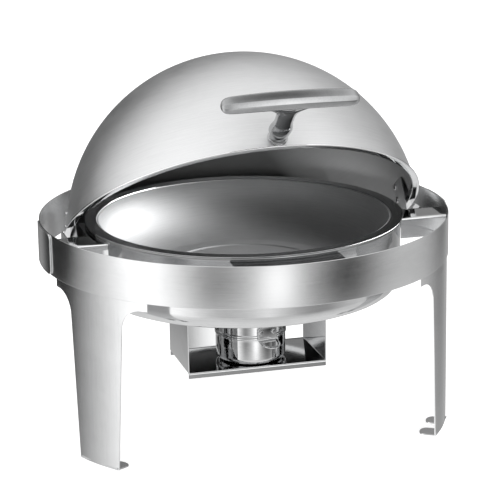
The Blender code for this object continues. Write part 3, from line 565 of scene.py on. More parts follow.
def prong_rows(centre):
    """A prong that leaves the leg's foot in a small bend and lies flat, its end rounded."""
    bend, half, round_end = 3.0 * MM, 11.0 * MM, 7.0 * MM
    start_y = -(LEG_R - 0.35 * MM)
    path = []
    for k in range(7):
        a = math.radians(90.0 * k / 6)
        path.append((half, start_y + bend * (1 - math.cos(a)), bend * (1 - math.sin(a)),
                     -math.cos(a), -math.sin(a)))
    straight = 24.0 * MM - bend - round_end
    for k in range(1, 5):
        path.append((half, start_y + bend + straight * k / 4, 0.0, 0.0, -1.0))
    last = start_y + bend + straight
    for k in range(1, 9):
        a = math.radians(89.0 * k / 8)
        path.append((half * math.cos(a), last + round_end * math.sin(a), 0.0, 0.0, -1.0))
    return [[(Vector((centre + wide * (i / 6 - 1.0), y, z)), Vector((0, ny, nz)))
             for i in range(13)] for wide, y, z, ny, nz in path]


def build_side_plate(side, word):
    """A thin cover plate bent round the band over the hinge, its corners rounded."""
    radius, half, corner = 250.3 * MM, 39.0 * MM, 7.0 * MM
    low, high = BAND_LOW + 0.6 * MM, BAND_TOP - 0.6 * MM
    lifts = [corner * (1.0 - math.cos(math.radians(a))) for a in range(4, 91, 8)]
    heights = [low + lift for lift in lifts] + [high - lift for lift in reversed(lifts)]
    rows = []
    for z in heights:
        near = corner - min(z - low, high - z, corner)
        wide = half - corner + math.sqrt(corner ** 2 - near ** 2)
        reach = math.asin(wide / radius)
        row = []
        for k in range(21):
            out = front_angle(side * 90.0 + math.degrees(reach * (k / 10 - 1.0)))
            row.append((out * radius + Vector((0, 0, z)), out))
        rows.append(row)
    plate = Build().sheet(rows, radius - BAND_R - 0.15 * MM)
    plate.done(f"side_cover_{word}", "frame", [f"side_plate_{word}"], "mirror_steel", BAND_STEEL,
               bevel=0.45 * MM)


# ---------------------------------------------------------------- housings and front bracket
SHEET = 1.5 * MM
TOP = 250.4 * MM
WATER_R = 190.8 * MM
HOUSING_R = 246.9 * MM
FRONT, TOP_BACK, BACK, LEDGE_BACK = -61.0 * MM, -22.0 * MM, 14.0 * MM, 40.0 * MM
HOUSING_LOW = 225.0 * MM


def across(radius, y):
    """X of a circle at y."""
    return math.sqrt(radius ** 2 - y ** 2)


def build_housing(side, word):
    """Bent sheet housing: top and front in one bend, cheeks, pan ledge and screwed flange."""
    mirror = Matrix.Diagonal((side, 1, 1, 1))
    bend = 2.4 * MM
    path = [(TOP_BACK - (TOP_BACK - FRONT - bend) * k / 6, TOP, 0.0, 1.0) for k in range(7)]
    path += [(FRONT + bend - bend * math.sin(a), TOP - bend + bend * math.cos(a),
              -math.sin(a), math.cos(a)) for a in BEND]
    path += [(FRONT, TOP - bend - (TOP - bend - HOUSING_LOW) * k / 3, -1.0, 0.0)
             for k in range(1, 4)]
    rows = []
    for y, z, ny, nz in path:
        inner, outer = across(WATER_R + 0.3 * MM, y), across(HOUSING_R, y)
        rows.append([(Vector((inner + (outer - inner) * u / 8, y, z)), Vector((0, ny, nz)))
                     for u in range(9)])
    box = Build().sheet(rows, SHEET, mirror)
    under = TOP - SHEET
    for x in (197.0 * MM, 222.0 * MM):
        outline = rounded([(FRONT + SHEET, HOUSING_LOW), (BACK, HOUSING_LOW, 8 * MM),
                           (BACK, TOP - 0.1 * MM, 6 * MM), (FRONT + SHEET, TOP - 0.1 * MM)])
        box.prism(outline, 0.0, SHEET, mirror @ upright(x))
    inner = [(across(WATER_R + 0.3 * MM, y), y)
             for y in [TOP_BACK + (LEDGE_BACK - TOP_BACK) * k / 10 for k in range(11)]]
    ledge = inner + [(198.4 * MM, LEDGE_BACK), (198.4 * MM, TOP_BACK - 1 * MM)]
    box.prism(ledge, under, TOP - 0.05 * MM, mirror)
    skin = []
    for z in (TOP - 0.6 * MM, 238 * MM, HOUSING_LOW):
        row = []
        for k in range(9):
            y = FRONT + 0.5 * MM + (TOP_BACK - FRONT - 0.5 * MM) * k / 8
            x = across(HOUSING_R, y)
            row.append((Vector((x, y, z)), Vector((x, y, 0)).normalized()))
        skin.append(row)
    box.sheet(skin, SHEET, mirror)
    box.done(f"hinge_box_{word}", "frame", [f"hinge_housing_{word}"], "mirror_steel", MIRROR,
             bevel=0.3 * MM)


def build_front_bracket():
    """The bent shelf between the band and the water pan at the front."""
    half = 65.0 * MM
    bend = 2.4 * MM
    inner = WATER_R + 0.3 * MM
    path = [(inner + (HOUSING_R - bend - inner) * k / 5, TOP, 0.0, 1.0) for k in range(6)]
    path += [(HOUSING_R - bend + bend * math.sin(a), TOP - bend + bend * math.cos(a),
              math.sin(a), math.cos(a)) for a in BEND]
    path += [(HOUSING_R, 241.0 * MM, 1.0, 0.0), (HOUSING_R, 232.0 * MM, 1.0, 0.0)]
    rows = []
    for r, z, nr, nz in path:
        spread = math.asin(half / r)
        row = []
        for k in range(33):
            a = spread * (k / 16 - 1.0)
            out = Vector((math.sin(a), -math.cos(a), 0))
            row.append((out * r + Vector((0, 0, z)), out * nr + Vector((0, 0, nz))))
        rows.append(row)
    Build().sheet(rows, SHEET).done("front_shelf", "frame", ["front_bracket"], "mirror_steel",
                                    SHELF_STEEL, bevel=0.3 * MM)


def build_housing_screws():
    """Pan-head screws with a shallow round recess, from inside the flange through the band."""
    number = 1
    for side in (-1, 1):
        out = front_angle(side * 83.0)
        for z in (230.5 * MM, 243.5 * MM):
            seat = HOUSING_R - SHEET - 0.6 * MM
            profile = mm((0, 4.6), (1.9, 4.6, 0.3), (1.9, 0), (3.8, 0, 0.3), (3.6, -1.8, 1.4),
                         (0.9, -2.4), (0.7, -1.2), (0, -1.0))
            zinc_part(f"flange_screw_{number}", "frame", f"housing_screw_{number}", profile, 24,
                      aligned(out * seat + Vector((0, 0, z)), out))
            number += 1


def build_hinge(side, word):
    """Shoulder pin, clip and two bushes of one hinge. Its lengths are in millimetres."""
    def at(x):
        return aligned((side * x * MM, 0, HINGE_Z), (side, 0, 0))

    cheek_in, cheek_out = 197.0, 222.0
    head, tail = cheek_out + 1.8, cheek_in - 2.4
    reach = head - tail
    pin = mm((0, reach + 3.0), (5.4, reach + 3.0, 1.0), (7.0, reach + 2.0, 0.8),
             (7.0, reach, 0.3), (4.0, reach), (4.0, 0, 0.5), (0, 0))
    zinc_part(f"pivot_pin_{word}", "frame", f"hinge_pin_{word}", pin, 40, at(tail))
    clip = rounded(mm((6.0, 1.6, 0.4), (6.0, 0, 0.4), (4.2, 0, 0.2), (4.2, 1.6, 0.2)))
    Build().lathe(clip, 32, at(cheek_in - 1.9)).done(
        f"retaining_clip_{word}", "frame", [f"pin_clip_{word}"], "zinc_plated", ZINC)
    spans = [(cheek_in + 1.8, 206.7), (208.8, cheek_out - 0.3)]
    for i, (begin, end) in enumerate(spans, 1):
        wide = end - begin
        ring = rounded(mm((7.5, wide, 0.6), (7.5, 0, 0.6), (4.3, 0, 0.3), (4.3, wide, 0.3)))
        Build().lathe(ring, 36, at(begin)).done(
            f"bush_{word}_{i}", "frame", [f"hinge_bush_{word}_{i}"], "black_nylon", NYLON)


# ---------------------------------------------------------------- lid
MOUTH = 14.2 * MM


def build_dome():
    """The lid's shell, turned about its own axis."""
    edge = MOUTH + 1.6 * MM
    low_out = math.degrees(math.asin(edge / LID_R))
    low_in = math.degrees(math.asin(edge / (LID_R - LID_T)))
    outer = arc((0, 0), LID_R, 90.0, low_out, 60)
    inner = arc((0, 0), LID_R - LID_T, low_in, 90.0, 60)
    outer[0] = (0.0, LID_R)
    inner[-1] = (0.0, LID_R - LID_T)
    Build().lathe(outer + inner, 160, closed=False).done(
        "roll_top_shell", "lid", ["lid_dome"], "satin_steel", DOME_STEEL, LID)


def build_lid_rim():
    """The rolled channel that hems the shell's edge."""
    profile = rounded(mm((220.0, 2.2, 0.5), (220.0, 0, 1.0), (211.2, 0, 1.6), (211.2, 7.8, 0.5),
                         (212.3, 7.8, 0.5), (212.3, 1.2, 0.6), (218.8, 1.2, 0.3), (218.8, 2.2, 0.5)))
    place = LID @ Matrix.Translation((0, 0, MOUTH))
    Build().lathe(profile, 192).done("mouth_rim", "lid", ["lid_rim"], "mirror_steel", MIRROR, place)


ARM_X = 207.0 * MM
ARM_T = 1.5 * MM


def build_arm(side, word):
    """The flat arm that hangs the lid on its pin."""
    foot = arc((4 * MM, 0), 15 * MM, 180.0, 360.0, 24)
    outline = foot + rounded(mm((19, 0), (19, 48, 5), (-11, 48, 5), (-11, 0)), closed=False)[1:-1]
    stand = upright(ARM_X if side > 0 else -ARM_X - ARM_T)
    Build().prism(outline, 0.0, ARM_T, stand).done(
        f"lid_arm_{word}", "lid", [f"hinge_arm_{word}"], "mirror_steel", ARM_STEEL, LID, bevel=0.35 * MM)


def build_arm_rivets():
    """Two rivets a side, from the arm out through the shell."""
    number = 1
    for side in (-1, 1):
        for n in (44.0 * MM, 27.0 * MM):
            at = Vector((0, 15.0 * MM, n))
            flat = at.y ** 2 + at.z ** 2
            skin = math.sqrt(LID_R ** 2 - flat)
            stop = math.sqrt((LID_R - LID_T - 1.5 * MM) ** 2 - flat) - 0.6 * MM
            arm_out, head_in, head_out = ARM_X + ARM_T + 0.3 * MM, ARM_X - 0.3 * MM, skin + 1.2 * MM
            profile = [(0, head_out + 1.4 * MM), (2.8 * MM, head_out + 1.3 * MM, 1.6 * MM),
                       (4.0 * MM, head_out, 0.3 * MM), (2.1 * MM, head_out)]
            if stop - arm_out > 1.0 * MM:
                profile += [(2.1 * MM, stop), (3.4 * MM, stop, 0.3 * MM),
                            (3.4 * MM, arm_out, 0.3 * MM), (2.1 * MM, arm_out)]
            profile += [(2.1 * MM, head_in), (4.2 * MM, head_in, 0.3 * MM),
                        (3.6 * MM, head_in - 1.3 * MM, 1.2 * MM), (0, head_in - 1.5 * MM)]
            zinc_part(f"lid_rivet_{number}", "lid", f"arm_rivet_{number}", profile, 28,
                      aligned(at, (side, 0, 0)), LID)
            number += 1


HANDLE_TILT = 7.6
HANDLE_REACH = 79.0 * MM


def handle_frame():
    """X along the grip, Y across it away from the lid's mouth, Z out along the stem."""
    lean = Matrix.Rotation(math.radians(90.0 - HANDLE_TILT), 4, "X")
    tilt = math.radians(HANDLE_TILT)
    out = Vector((0, -math.cos(tilt), math.sin(tilt)))
    return Matrix.Translation(out * LID_R) @ lean


# the grip's section: across, out and corner radius in millimetres. It has a broad top face, a
# ridge and a slimmer side towards the mouth.
GRIP = [(-11.2, -1.4, 2.4), (-7.4, 3.8, 2.72), (-1.4, 6.8, 1.28), (10.2, 6.3, 2.56),
        (11.6, 0.8, 2.08), (11.2, -3.0, 2.72), (4.6, -6.4, 3.6), (-8.0, -5.6, 2.72)]
# the stem: height, half width, half depth and shift away from the mouth, in millimetres
STEM = [(3.4, 11.2, 7.9, 0), (6.0, 11.8, 8.2, 0), (10.0, 12.3, 8.5, 0), (15, 13.6, 9.0, 0.4),
        (19, 14.0, 9.2, 0.6), (24, 13.4, 8.8, 0.5), (30, 12.0, 7.8, 0.2), (36, 11.3, 7.2, 0),
        (43, 11.3, 6.9, 0), (50, 12.0, 6.7, 0), (56, 14.0, 6.8, 0), (60, 17.0, 7.0, 0),
        (63.5, 21.5, 7.2, 0), (66.5, 28.0, 7.2, 0), (69.0, 36.0, 6.8, 0), (71.2, 46.0, 6.0, 0),
        (73.2, 56.0, 4.6, 0)]


def build_handle():
    """The cast T handle: a bowed grip with a ridge, on a waisted stem that flares into it."""
    frame = handle_frame()
    handle = Build()
    section = rounded(mm(*GRIP))
    half_length, sag, count = 80.3 * MM, 3.5 * MM, 46
    rings = []
    for i in range(count + 1):
        u = math.sin(math.radians(-90.0 + 180.0 * i / count))
        end = max(0.10, max(0.0, 1.0 - abs(u) ** 22) ** 0.5)
        wide, thick = (1.0 - 0.13 * u * u) * end, (1.0 - 0.10 * u * u) * end
        rings.append([Vector((u * half_length, y * wide, HANDLE_REACH - sag * u * u + z * thick))
                      for y, z in section])
    handle.loft(rings, frame)
    smooth = [blend_row(STEM, i, k / 3) for i in range(len(STEM) - 1) for k in range(3)]
    sides = 48
    turns = [2 * math.pi * k / sides for k in range(sides)]
    rings = [[Vector((wide * MM * math.cos(a), (shift + deep * math.sin(a)) * MM, z * MM))
              for a in turns] for z, wide, deep, shift in (*smooth, STEM[-1])]
    handle.loft(rings, frame)
    handle.done("lid_grip", "lid", ["lid_handle"], "cast_chrome", CHROME, LID, sharp=50.0)

    collar = rounded(mm((9.8, 3.1, 0.3), (10.9, 2.9, 0.5), (10.4, 2.0, 0.3), (11.75, 1.7, 0.4),
                        (11.75, 0.5, 0.3), (3.4, 0.5), (3.4, 3.1)))
    Build().lathe(collar, 48, frame).done(
        "grip_collar", "lid", ["handle_collar"], "cast_chrome", CHROME, LID)
    screw = mm((0, 17), (2.8, 17, 0.4), (2.8, -2.3), (6.0, -2.3, 0.3), (5.2, -5.6, 2.2),
               (1.4, -6.0), (1.1, -4.6), (0, -4.4))
    zinc_part("grip_screw", "lid", "handle_screw", screw, 32, frame, LID)


def blend_row(rows, i, t):
    """Catmull-Rom blend between rows i and i + 1."""
    a = rows[max(i - 1, 0)]
    b, c = rows[i], rows[i + 1]
    d = rows[min(i + 2, len(rows) - 1)]
    return tuple(0.5 * (2 * q + (r - p) * t + (2 * p - 5 * q + 4 * r - s) * t * t
                        + (3 * q - p - 3 * r + s) * t ** 3) for p, q, r, s in zip(a, b, c, d))


# ---------------------------------------------------------------- pans
def build_water_pan():
    """The deep mirror pan with a rolled bead at its edge."""
    r = WATER_R
    low, top = 165.0 * MM, 254.5 * MM
    profile = rounded([(0, low + 1.0 * MM), (r - 3.0 * MM, low + 1.0 * MM, 17 * MM),
                       (r - 1.0 * MM, top, 0.4 * MM), (r + 1.2 * MM, top, 0.9 * MM),
                       (r + 1.8 * MM, top - 1.7 * MM, 0.8 * MM), (r + 1.1 * MM, 251.0 * MM, 0.5 * MM),
                       (r, 250.7 * MM, 0.3 * MM), (r - 2.0 * MM, low, 18 * MM), (0, low)],
                      closed=False)
    Build().lathe(profile, 176, closed=False).done("water_basin", "frame", ["water_pan"],
                                                   "mirror_steel", WATER_STEEL)


def build_food_pan():
    """The lift-out food pan: flat rim, a small step, curved sides and a stepped floor."""
    rim, top, step, t = 193.5, 255.8, 1.6, 1.0
    floor_r, floor, wide = 95.0, 191.0, 82.0
    ledge = top - step
    deep = ledge - floor
    inside = rounded(mm((0, floor), (floor_r - 3.5, floor, 1.0), (floor_r - 1.5, floor + 1.3, 1.2),
                        (floor_r + 1.5, floor + 1.5)), closed=False)
    bowl = [(r, max(z, floor + 1.5)) for r, z in arc((floor_r, ledge), (wide, deep), -87.0, 0.0, 40)]
    lip = rounded(mm((floor_r + wide, ledge - 0.3), (floor_r + wide + 1.4, ledge, 0.5),
                     (179.4, top, 0.6), (rim, top, 0.45), (rim, top - t, 0.45), (180.0, top - t)),
                  closed=False)
    outside = arc((floor_r, ledge), (wide + t, deep + t), -4.0, -90.0, 36)
    profile = inside + mm(*bowl) + lip + mm(*outside, (0, floor - t))
    Build().lathe(profile, 176, closed=False).done("lift_out_pan", "food_tray", ["food_pan"],
                                                   "brushed_pan", PAN_STEEL, sharp=38.0)


# ---------------------------------------------------------------- burner
def build_tray():
    """The U-shaped bracket: side walls and flanges in one bend, lips turned down."""
    half, front, rear, floor, lip = 87.0 * MM, -56.0 * MM, 40.0 * MM, 78.0 * MM, 71.0 * MM
    flange_top = 161.0 * MM
    bend = 2.5 * MM
    inner = bend - SHEET
    section = rounded([(half, floor - SHEET, bend), (half, flange_top, bend),
                       (half - 15 * MM, flange_top), (half - 15 * MM, flange_top - SHEET),
                       (half - SHEET, flange_top - SHEET, inner), (half - SHEET, floor, inner),
                       (SHEET - half, floor, inner), (SHEET - half, flange_top - SHEET, inner),
                       (15 * MM - half, flange_top - SHEET), (15 * MM - half, flange_top),
                       (-half, flange_top, bend), (-half, floor - SHEET, bend)])
    stand = Matrix.Rotation(math.radians(90), 4, "X")
    tray = Build().prism(section, -rear, -front, stand)
    for sign, y in ((-1, front), (1, rear)):
        path = [(y - sign * 4 * MM, floor, 0.0, 1.0), (y - sign * 1.8 * MM, floor, 0.0, 1.0)]
        for a in BEND:
            path.append((y + sign * (0.75 * MM - bend + bend * math.sin(a)),
                         floor - bend + bend * math.cos(a), sign * math.sin(a), math.cos(a)))
        path += [(y + sign * 0.75 * MM, 73.2 * MM, sign, 0.0), (y + sign * 0.75 * MM, lip, sign, 0.0)]
        rows = []
        for py, pz, ny, nz in path:
            rows.append([(Vector((half * 0.992 * (u / 12 - 1.0), py, pz)), Vector((0, ny, nz)))
                         for u in range(25)])
        tray.sheet(rows, SHEET)
    tray.done("burner_tray", "frame", ["burner_bracket"], "mirror_steel", TRAY_STEEL,
              bevel=0.3 * MM)


def build_tray_fasteners():
    """Studs under the water pan, and the nuts that hold the tray on them."""
    number = 1
    top, under = 164.7, 159.2
    for side in (-1, 1):
        for y in (-38.0 * MM, 22.0 * MM):
            at = Matrix.Translation((side * 78.0 * MM, y, 0))
            stud = mm((0, top), (5.0, top, 0.3), (5.0, top - 3, 0.3), (2.4, top - 3),
                      (2.4, 152.2, 0.5), (0, 152.2))
            zinc_part(f"weld_stud_{number}", "frame", f"bracket_stud_{number}", stud, 24, at)
            nut = Build()
            hexagon = arc((0, 0), 5.0 * MM, 0.0, 360.0, 6)[:-1]
            bore = arc((0, 0), 3.1 * MM, 0.0, 360.0, 18)[:-1]
            ring_nut(nut, hexagon, bore, (under - 4) * MM, under * MM, at)
            nut.done(f"tray_nut_{number}", "frame", [f"bracket_nut_{number}"], "zinc_plated", ZINC,
                     bevel=0.25 * MM)
            number += 1


def ring_nut(build, outer, inner, low, high, matrix):
    """A prism with a round hole; inner has three times as many points as outer."""
    n, m = len(outer), len(inner)
    verts = [(x, y, z) for z in (low, high) for x, y in outer]
    verts += [(x, y, z) for z in (low, high) for x, y in inner]
    faces = []
    for k in range(n):
        j = (k + 1) % n
        faces.append((k, j, n + j, n + k))
        a = 2 * n
        i0, i1, i2, i3 = (3 * k, 3 * k + 1, 3 * k + 2, (3 * k + 3) % m)
        faces.append((j, k, a + i0, a + i1, a + i2, a + i3))
        faces.append((n + k, n + j, a + m + i3, a + m + i2, a + m + i1, a + m + i0))
    for k in range(m):
        j = (k + 1) % m
        a = 2 * n
        faces.append((a + j, a + k, a + m + k, a + m + j))
    build.shell(verts, faces, matrix)


COLLAR_TOP = 136.0                  # in millimetres


def build_fuel_holder():
    """The cup, its collar and the gel fuel can inside them, turned from millimetre profiles."""
    r, low, top, t = 43.0, 78.3, 113.5, 0.8
    bead = r + 0.9
    cup = rounded(mm((0, low + t), (r - t, low + t, 7.2), (r - t, top, 0.3), (bead, top, 0.7),
                     (bead, top - 2.0, 0.7), (r, top - 2.8, 0.5), (r, 107.0), (r, low, 8),
                     (0, low)), closed=False)
    Build().lathe(cup, 96, closed=False).done(
        "holder_cup", "fuel_holder", ["burner_cup"], "mirror_steel", CUP_STEEL, CUP)
    seat = top + 0.3
    outer = r - 0.3
    collar = rounded(mm((26, COLLAR_TOP, 0.35), (outer, COLLAR_TOP, 2.4), (outer, seat + 2.8, 0.5),
                        (bead, seat + 1.9, 0.7), (bead, seat, 0.6), (outer - t, seat, 0.3),
                        (outer - t, COLLAR_TOP - t, 1.8), (26, COLLAR_TOP - t, 0.35)))
    Build().lathe(collar, 96).done(
        "holder_collar", "fuel_holder", ["burner_collar"], "mirror_steel", CUP_STEEL, CUP)
    tin_r, tin_low, tin_top = 36.5, low + t + 0.3, 126
    tin = rounded(mm((0, tin_low + t), (tin_r - t, tin_low + t, 4), (tin_r - t, tin_top - t),
                     (24, tin_top - t, 0.3), (24, tin_top, 0.3), (tin_r + 0.6, tin_top, 0.6),
                     (tin_r + 0.6, tin_top - 2, 0.6), (tin_r, tin_top - 2.8, 0.4),
                     (tin_r, tin_low, 4.6), (0, tin_low)), closed=False)
    Build().lathe(tin, 72, closed=False).done(
        "gel_fuel_can", "fuel_holder", ["fuel_tin"], "tinplate", TIN, CUP)


def cup_handle_frame():
    """X sideways, Y outwards from the cup, Z up."""
    out = front_angle(12.0)
    side = Vector((-out.y, out.x, 0))
    turn = Matrix(((side.x, out.x, 0, 0), (side.y, out.y, 0, 0), (0, 0, 1, 0), (0, 0, 0, 1)))
    return CUP @ turn


def plate_with_holes(outline, holes, low, high, edge):
    """Vertices and faces of a flat plate with holes and softly rounded edges."""
    curve = bpy.data.curves.new("plate", "CURVE")
    curve.dimensions = "2D"
    curve.fill_mode = "BOTH"
    curve.extrude = (high - low) / 2 - edge
    curve.bevel_depth = edge
    curve.bevel_resolution = 2
    curve.offset = -edge
    for points in (outline, *holes):
        spline = curve.splines.new("POLY")
        spline.points.add(len(points) - 1)
        for point, (x, y) in zip(spline.points, points):
            point.co = (x, y, 0.0, 1.0)
        spline.use_cyclic_u = True
    obj = add_object("plate", curve)
    bpy.context.view_layer.update()
    mesh = bpy.data.meshes.new_from_object(obj.evaluated_get(
        bpy.context.evaluated_depsgraph_get()))
    bpy.data.objects.remove(obj, do_unlink=True)
    bpy.data.curves.remove(curve)
    middle = (low + high) / 2
    verts = [(v.co.x, v.co.y, v.co.z + middle) for v in mesh.vertices]
    faces = [tuple(p.vertices) for p in mesh.polygons]
    bpy.data.meshes.remove(mesh)
    return verts, faces


def build_cup_handle():
    """The riveted tab bent out into a D-shaped finger loop, and its rivets."""
    frame = cup_handle_frame()
    t = 1.0 * MM
    half, seat = 12.5 * MM, 44.3 * MM
    low, high = 110.4 * MM, 127 * MM
    face = Matrix(((1, 0, 0, 0), (0, 0, 1, seat + t / 2), (0, 1, 0, 0), (0, 0, 0, 1)))
    outline = rounded([(-half, low), (half, low), (half, high, 4 * MM), (-half, high, 4 * MM)])
    handle = Build()
    handle.shell(*plate_with_holes(outline, [], -t / 2, t / 2, 0.3 * MM), frame @ face)
    bend = Matrix.Translation((0, seat + t / 2, low + t / 2))
    tilt = Matrix.Rotation(math.radians(-14), 4, "X")
    loop = [(-half, -t / 2), (half, -t / 2), *arc((0, 8 * MM), (half, 13 * MM), 0.0, 180.0, 28)]
    finger = [(-half + 4 * MM, 5 * MM), (half - 4 * MM, 5 * MM),
              *arc((0, 9 * MM), (half - 4 * MM, 8 * MM), 0.0, 180.0, 24)]
    handle.shell(*plate_with_holes(loop, [finger], -t / 2, t / 2, 0.35 * MM), frame @ bend @ tilt)
    handle.done("holder_handle", "fuel_holder", ["cup_handle"], "mirror_steel", MIRROR)
    out = frame.to_3x3() @ Vector((0, 1, 0))
    for i, x in enumerate((-8.5 * MM, 8.5 * MM), 1):
        profile = mm((0, 6.4), (2.8, 6.3, 1.2), (3.6, 5.0, 0.3), (1.6, 5.0), (1.6, 0), (0, 0))
        at = aligned(frame @ Vector((x, 40.6 * MM, 121 * MM)), out)
        zinc_part(f"holder_rivet_{i}", "fuel_holder", f"cup_handle_rivet_{i}", profile, 24, at)


def build_damper():
    """The swinging cover over the flame opening, its thumb tab and its rivet."""
    t = 1.0 * MM
    pivot = CUP @ Matrix.Translation((-33.0 * MM, 0, COLLAR_TOP * MM))
    outline = arc((33 * MM, 0), 28.5 * MM, -160.0, 160.0, 60) + arc((0, 0), 7 * MM, 120.0, 240.0, 16)
    hole = arc((0, 0), 2.3 * MM, 0.0, 360.0, 24)[:-1]
    cover = Build()
    cover.shell(*plate_with_holes(outline, [hole], 0.3 * MM, 0.3 * MM + t, 0.3 * MM))
    tip = 59.5 * MM
    tab = rounded(mm((-5, 0.4), (5, 0.4), (5, 9, 2), (-5, 9, 2)))
    cover.shell(*plate_with_holes(tab, [], 0.0, t, 0.3 * MM), upright(tip))
    cover.done("flame_damper", "damper", ["damper_plate"], "mirror_steel", MIRROR, pivot)
    rivet = mm((0, 3.4), (2.8, 3.4, 0.8), (4.2, 1.6, 0.3), (2.0, 1.6), (2.0, -1.2),
               (4.0, -1.2, 0.3), (4.0, -2.2, 0.3), (0, -2.2))
    zinc_part("damper_pivot_rivet", "fuel_holder", "damper_rivet", rivet, 28, pivot)


# ---------------------------------------------------------------- studio
THETA = 14.8                        # the camera stands this far to the left of the front


def toward(azimuth, elevation):
    """A direction by azimuth from the camera's side, positive to its right, and elevation."""
    a, e, t = math.radians(azimuth), math.radians(elevation), math.radians(THETA)
    right = Vector((math.cos(t), -math.sin(t), 0))
    back = Vector((-math.sin(t), -math.cos(t), 0))
    flat = back * math.cos(a) + right * math.sin(a)
    return flat * math.cos(e) + Vector((0, 0, math.sin(e)))


# brightness of the surroundings by the sine of the elevation
SKY = [(-1.0, 0.90), (-0.5, 0.75), (-0.25, 0.52), (0.0, 0.62), (0.3, 0.88), (0.6, 0.94),
       (0.85, 1.09), (1.0, 1.03)]
# soft cards: azimuth, elevation, sharpness, added brightness
CARDS = [(-58, -14, 12, 0.88), (-60, 24, 6, 0.42), (-18, -15, 40, -0.30), (18, -15, 50, 0.90),
         (58, -14, 16, -0.50), (104, -5, 14, 0.10), (148, -5, 12, -0.30), (165, -8, 30, 0.45),
         (-116, -12, 20, -0.25), (-134, -4, 12, -0.55), (-154, -18, 40, 0.25), (-145, 20, 8, -0.55),
         (70, 73, 50, -0.80), (30, 16, 75, 1.05), (180, 8, 6, -0.55), (125, 30, 8, -0.30),
         (62, 30, 9, 0.50)]


def build_world():
    world = bpy.data.worlds.new("studio")
    bpy.context.scene.world = world
    world.use_nodes = True
    tree = world.node_tree
    tree.nodes.clear()
    direction = tree.nodes.new("ShaderNodeTexCoord").outputs["Generated"]
    ramp = tree.nodes.new("ShaderNodeValToRGB")
    ramp.color_ramp.interpolation = "EASE"
    elements = ramp.color_ramp.elements
    while len(elements) < len(SKY):
        elements.new(0.5)
    for element, (sine, value) in zip(elements, SKY):
        element.position = (sine + 1.0) / 2.0
        element.color = (value, value, value, 1.0)
    rise = math_node(tree, "MULTIPLY_ADD", height(tree, direction), 0.5, 0.5)
    link(tree, rise, ramp.inputs[0])
    total = ramp.outputs[0]
    for azimuth, elevation, sharp, amount in CARDS:
        facing = tree.nodes.new("ShaderNodeVectorMath")
        facing.operation = "DOT_PRODUCT"
        facing.inputs[1].default_value = toward(azimuth, elevation)
        link(tree, direction, facing.inputs[0])
        seen = math_node(tree, "MAXIMUM", facing.outputs["Value"], 0.0)
        lobe = math_node(tree, "POWER", seen, float(sharp))
        total = math_node(tree, "MULTIPLY_ADD", lobe, amount, total)
    darkest = 0.03
    total = math_node(tree, "MAXIMUM", total, darkest)
    lit = tree.nodes.new("ShaderNodeBackground")
    link(tree, total, lit.inputs["Color"])
    plain = tree.nodes.new("ShaderNodeBackground")
    plain.inputs["Color"].default_value = (1.0, 1.0, 1.0, 1.0)
    mix = tree.nodes.new("ShaderNodeMixShader")
    path = tree.nodes.new("ShaderNodeLightPath")
    link(tree, path.outputs["Is Camera Ray"], mix.inputs[0])
    link(tree, lit.outputs[0], mix.inputs[1])
    link(tree, plain.outputs[0], mix.inputs[2])
    output = tree.nodes.new("ShaderNodeOutputWorld")
    link(tree, mix.outputs[0], output.inputs["Surface"])


def build_floor():
    mesh = bpy.data.meshes.new("floor")
    reach = 6.0
    mesh.from_pydata([(-reach, -reach, 0), (reach, -reach, 0), (reach, reach, 0),
                      (-reach, reach, 0)], [], [(0, 1, 2, 3)])
    floor = add_object("floor", mesh)
    floor.location = (0, 0, -0.0003)
    floor.visible_glossy = False
    mat, _, shader = new_material("pale_floor")
    shader.inputs["Base Color"].default_value = (0.90, 0.90, 0.90, 1.0)
    shader.inputs["Roughness"].default_value = 1.0
    shader.inputs["Specular IOR Level"].default_value = 0.0
    shader.inputs["Emission Color"].default_value = (1.0, 1.0, 1.0, 1.0)
    shader.inputs["Emission Strength"].default_value = 0.60
    mesh.materials.append(mat)


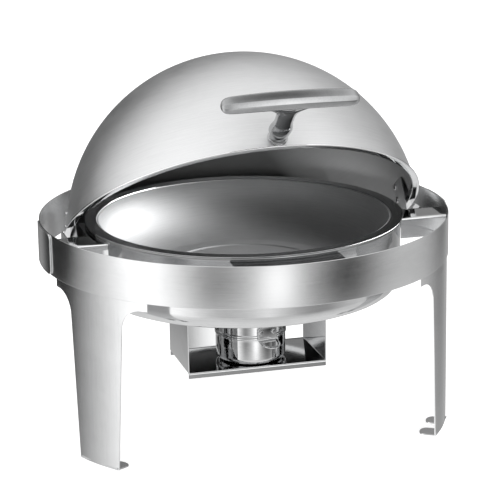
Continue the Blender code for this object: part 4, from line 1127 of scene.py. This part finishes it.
def inner_light(name, place, aim, size, power, nodes):
    """A soft light that falls only on the named pieces, as a card held close to them would."""
    data = bpy.data.lights.new(name, "AREA")
    data.shape = "DISK"
    data.size = size
    data.energy = power
    lamp = add_object(name, data)
    lamp.location = place
    lamp.rotation_euler = (Vector(aim) - Vector(place)).to_track_quat("-Z", "Y").to_euler()
    lamp.visible_camera = False
    lit = bpy.data.collections.new(name + "_lit")
    for node in nodes:
        lit.objects.link(bpy.data.objects[node])
    lamp.light_linking.receiver_collection = lit
    lamp.light_linking.blocker_collection = lit


def build_inner_lights():
    inner_light("pan_light", (0.98, 0.25, 0.78), (-0.10, 0.0, 0.22), 1.00, 23.0, ["lift_out_pan"])
    inner_light("lid_light", (0.07, 0.09, 0.19), (0.20, -0.02, 0.30), 0.08, 0.065,
                ["roll_top_shell", "lid_arm_left", "lid_arm_right"])


def build_view():
    bpy.context.scene.view_settings.view_transform = "Standard"
    bpy.context.scene.view_settings.look = "None"


def build_camera():
    distance, lift, pitch, roll = 2.723, 0.9747, 0.2764, 0.0158
    width, focal, centre = 500.0, 2313.6, (244.34, 256.24)    # in pixels of the picture
    data = bpy.data.cameras.new("camera")
    data.sensor_width = 36.0
    data.lens = data.sensor_width * focal / width
    data.shift_x = (width / 2 - centre[0]) / width
    data.shift_y = (centre[1] - width / 2) / width
    data.clip_start = 0.05
    data.clip_end = 50.0
    camera = add_object("camera", data)
    t = math.radians(THETA)
    place = Matrix.Translation((-distance * math.sin(t), -distance * math.cos(t), lift))
    turn = Matrix.Rotation(-t, 4, "Z") @ Matrix.Rotation(math.pi / 2 - pitch, 4, "X")
    camera.matrix_world = place @ turn @ Matrix.Rotation(-roll, 4, "Z")
    bpy.context.scene.camera = camera


build_band()
for leg, leg_angle in (("leg_left", -60.0), ("leg_right", 60.0), ("leg_rear", 180.0)):
    build_leg(leg, leg_angle)
for hinge_side, hinge_word in ((-1, "left"), (1, "right")):
    build_side_plate(hinge_side, hinge_word)
    build_housing(hinge_side, hinge_word)
    build_hinge(hinge_side, hinge_word)
    build_arm(hinge_side, hinge_word)
build_housing_screws()
build_front_bracket()
build_dome()
build_lid_rim()
build_arm_rivets()
build_handle()
build_water_pan()
build_food_pan()
build_tray()
build_tray_fasteners()
build_fuel_holder()
build_cup_handle()
build_damper()
build_world()
build_floor()
build_inner_lights()
build_camera()
build_view()
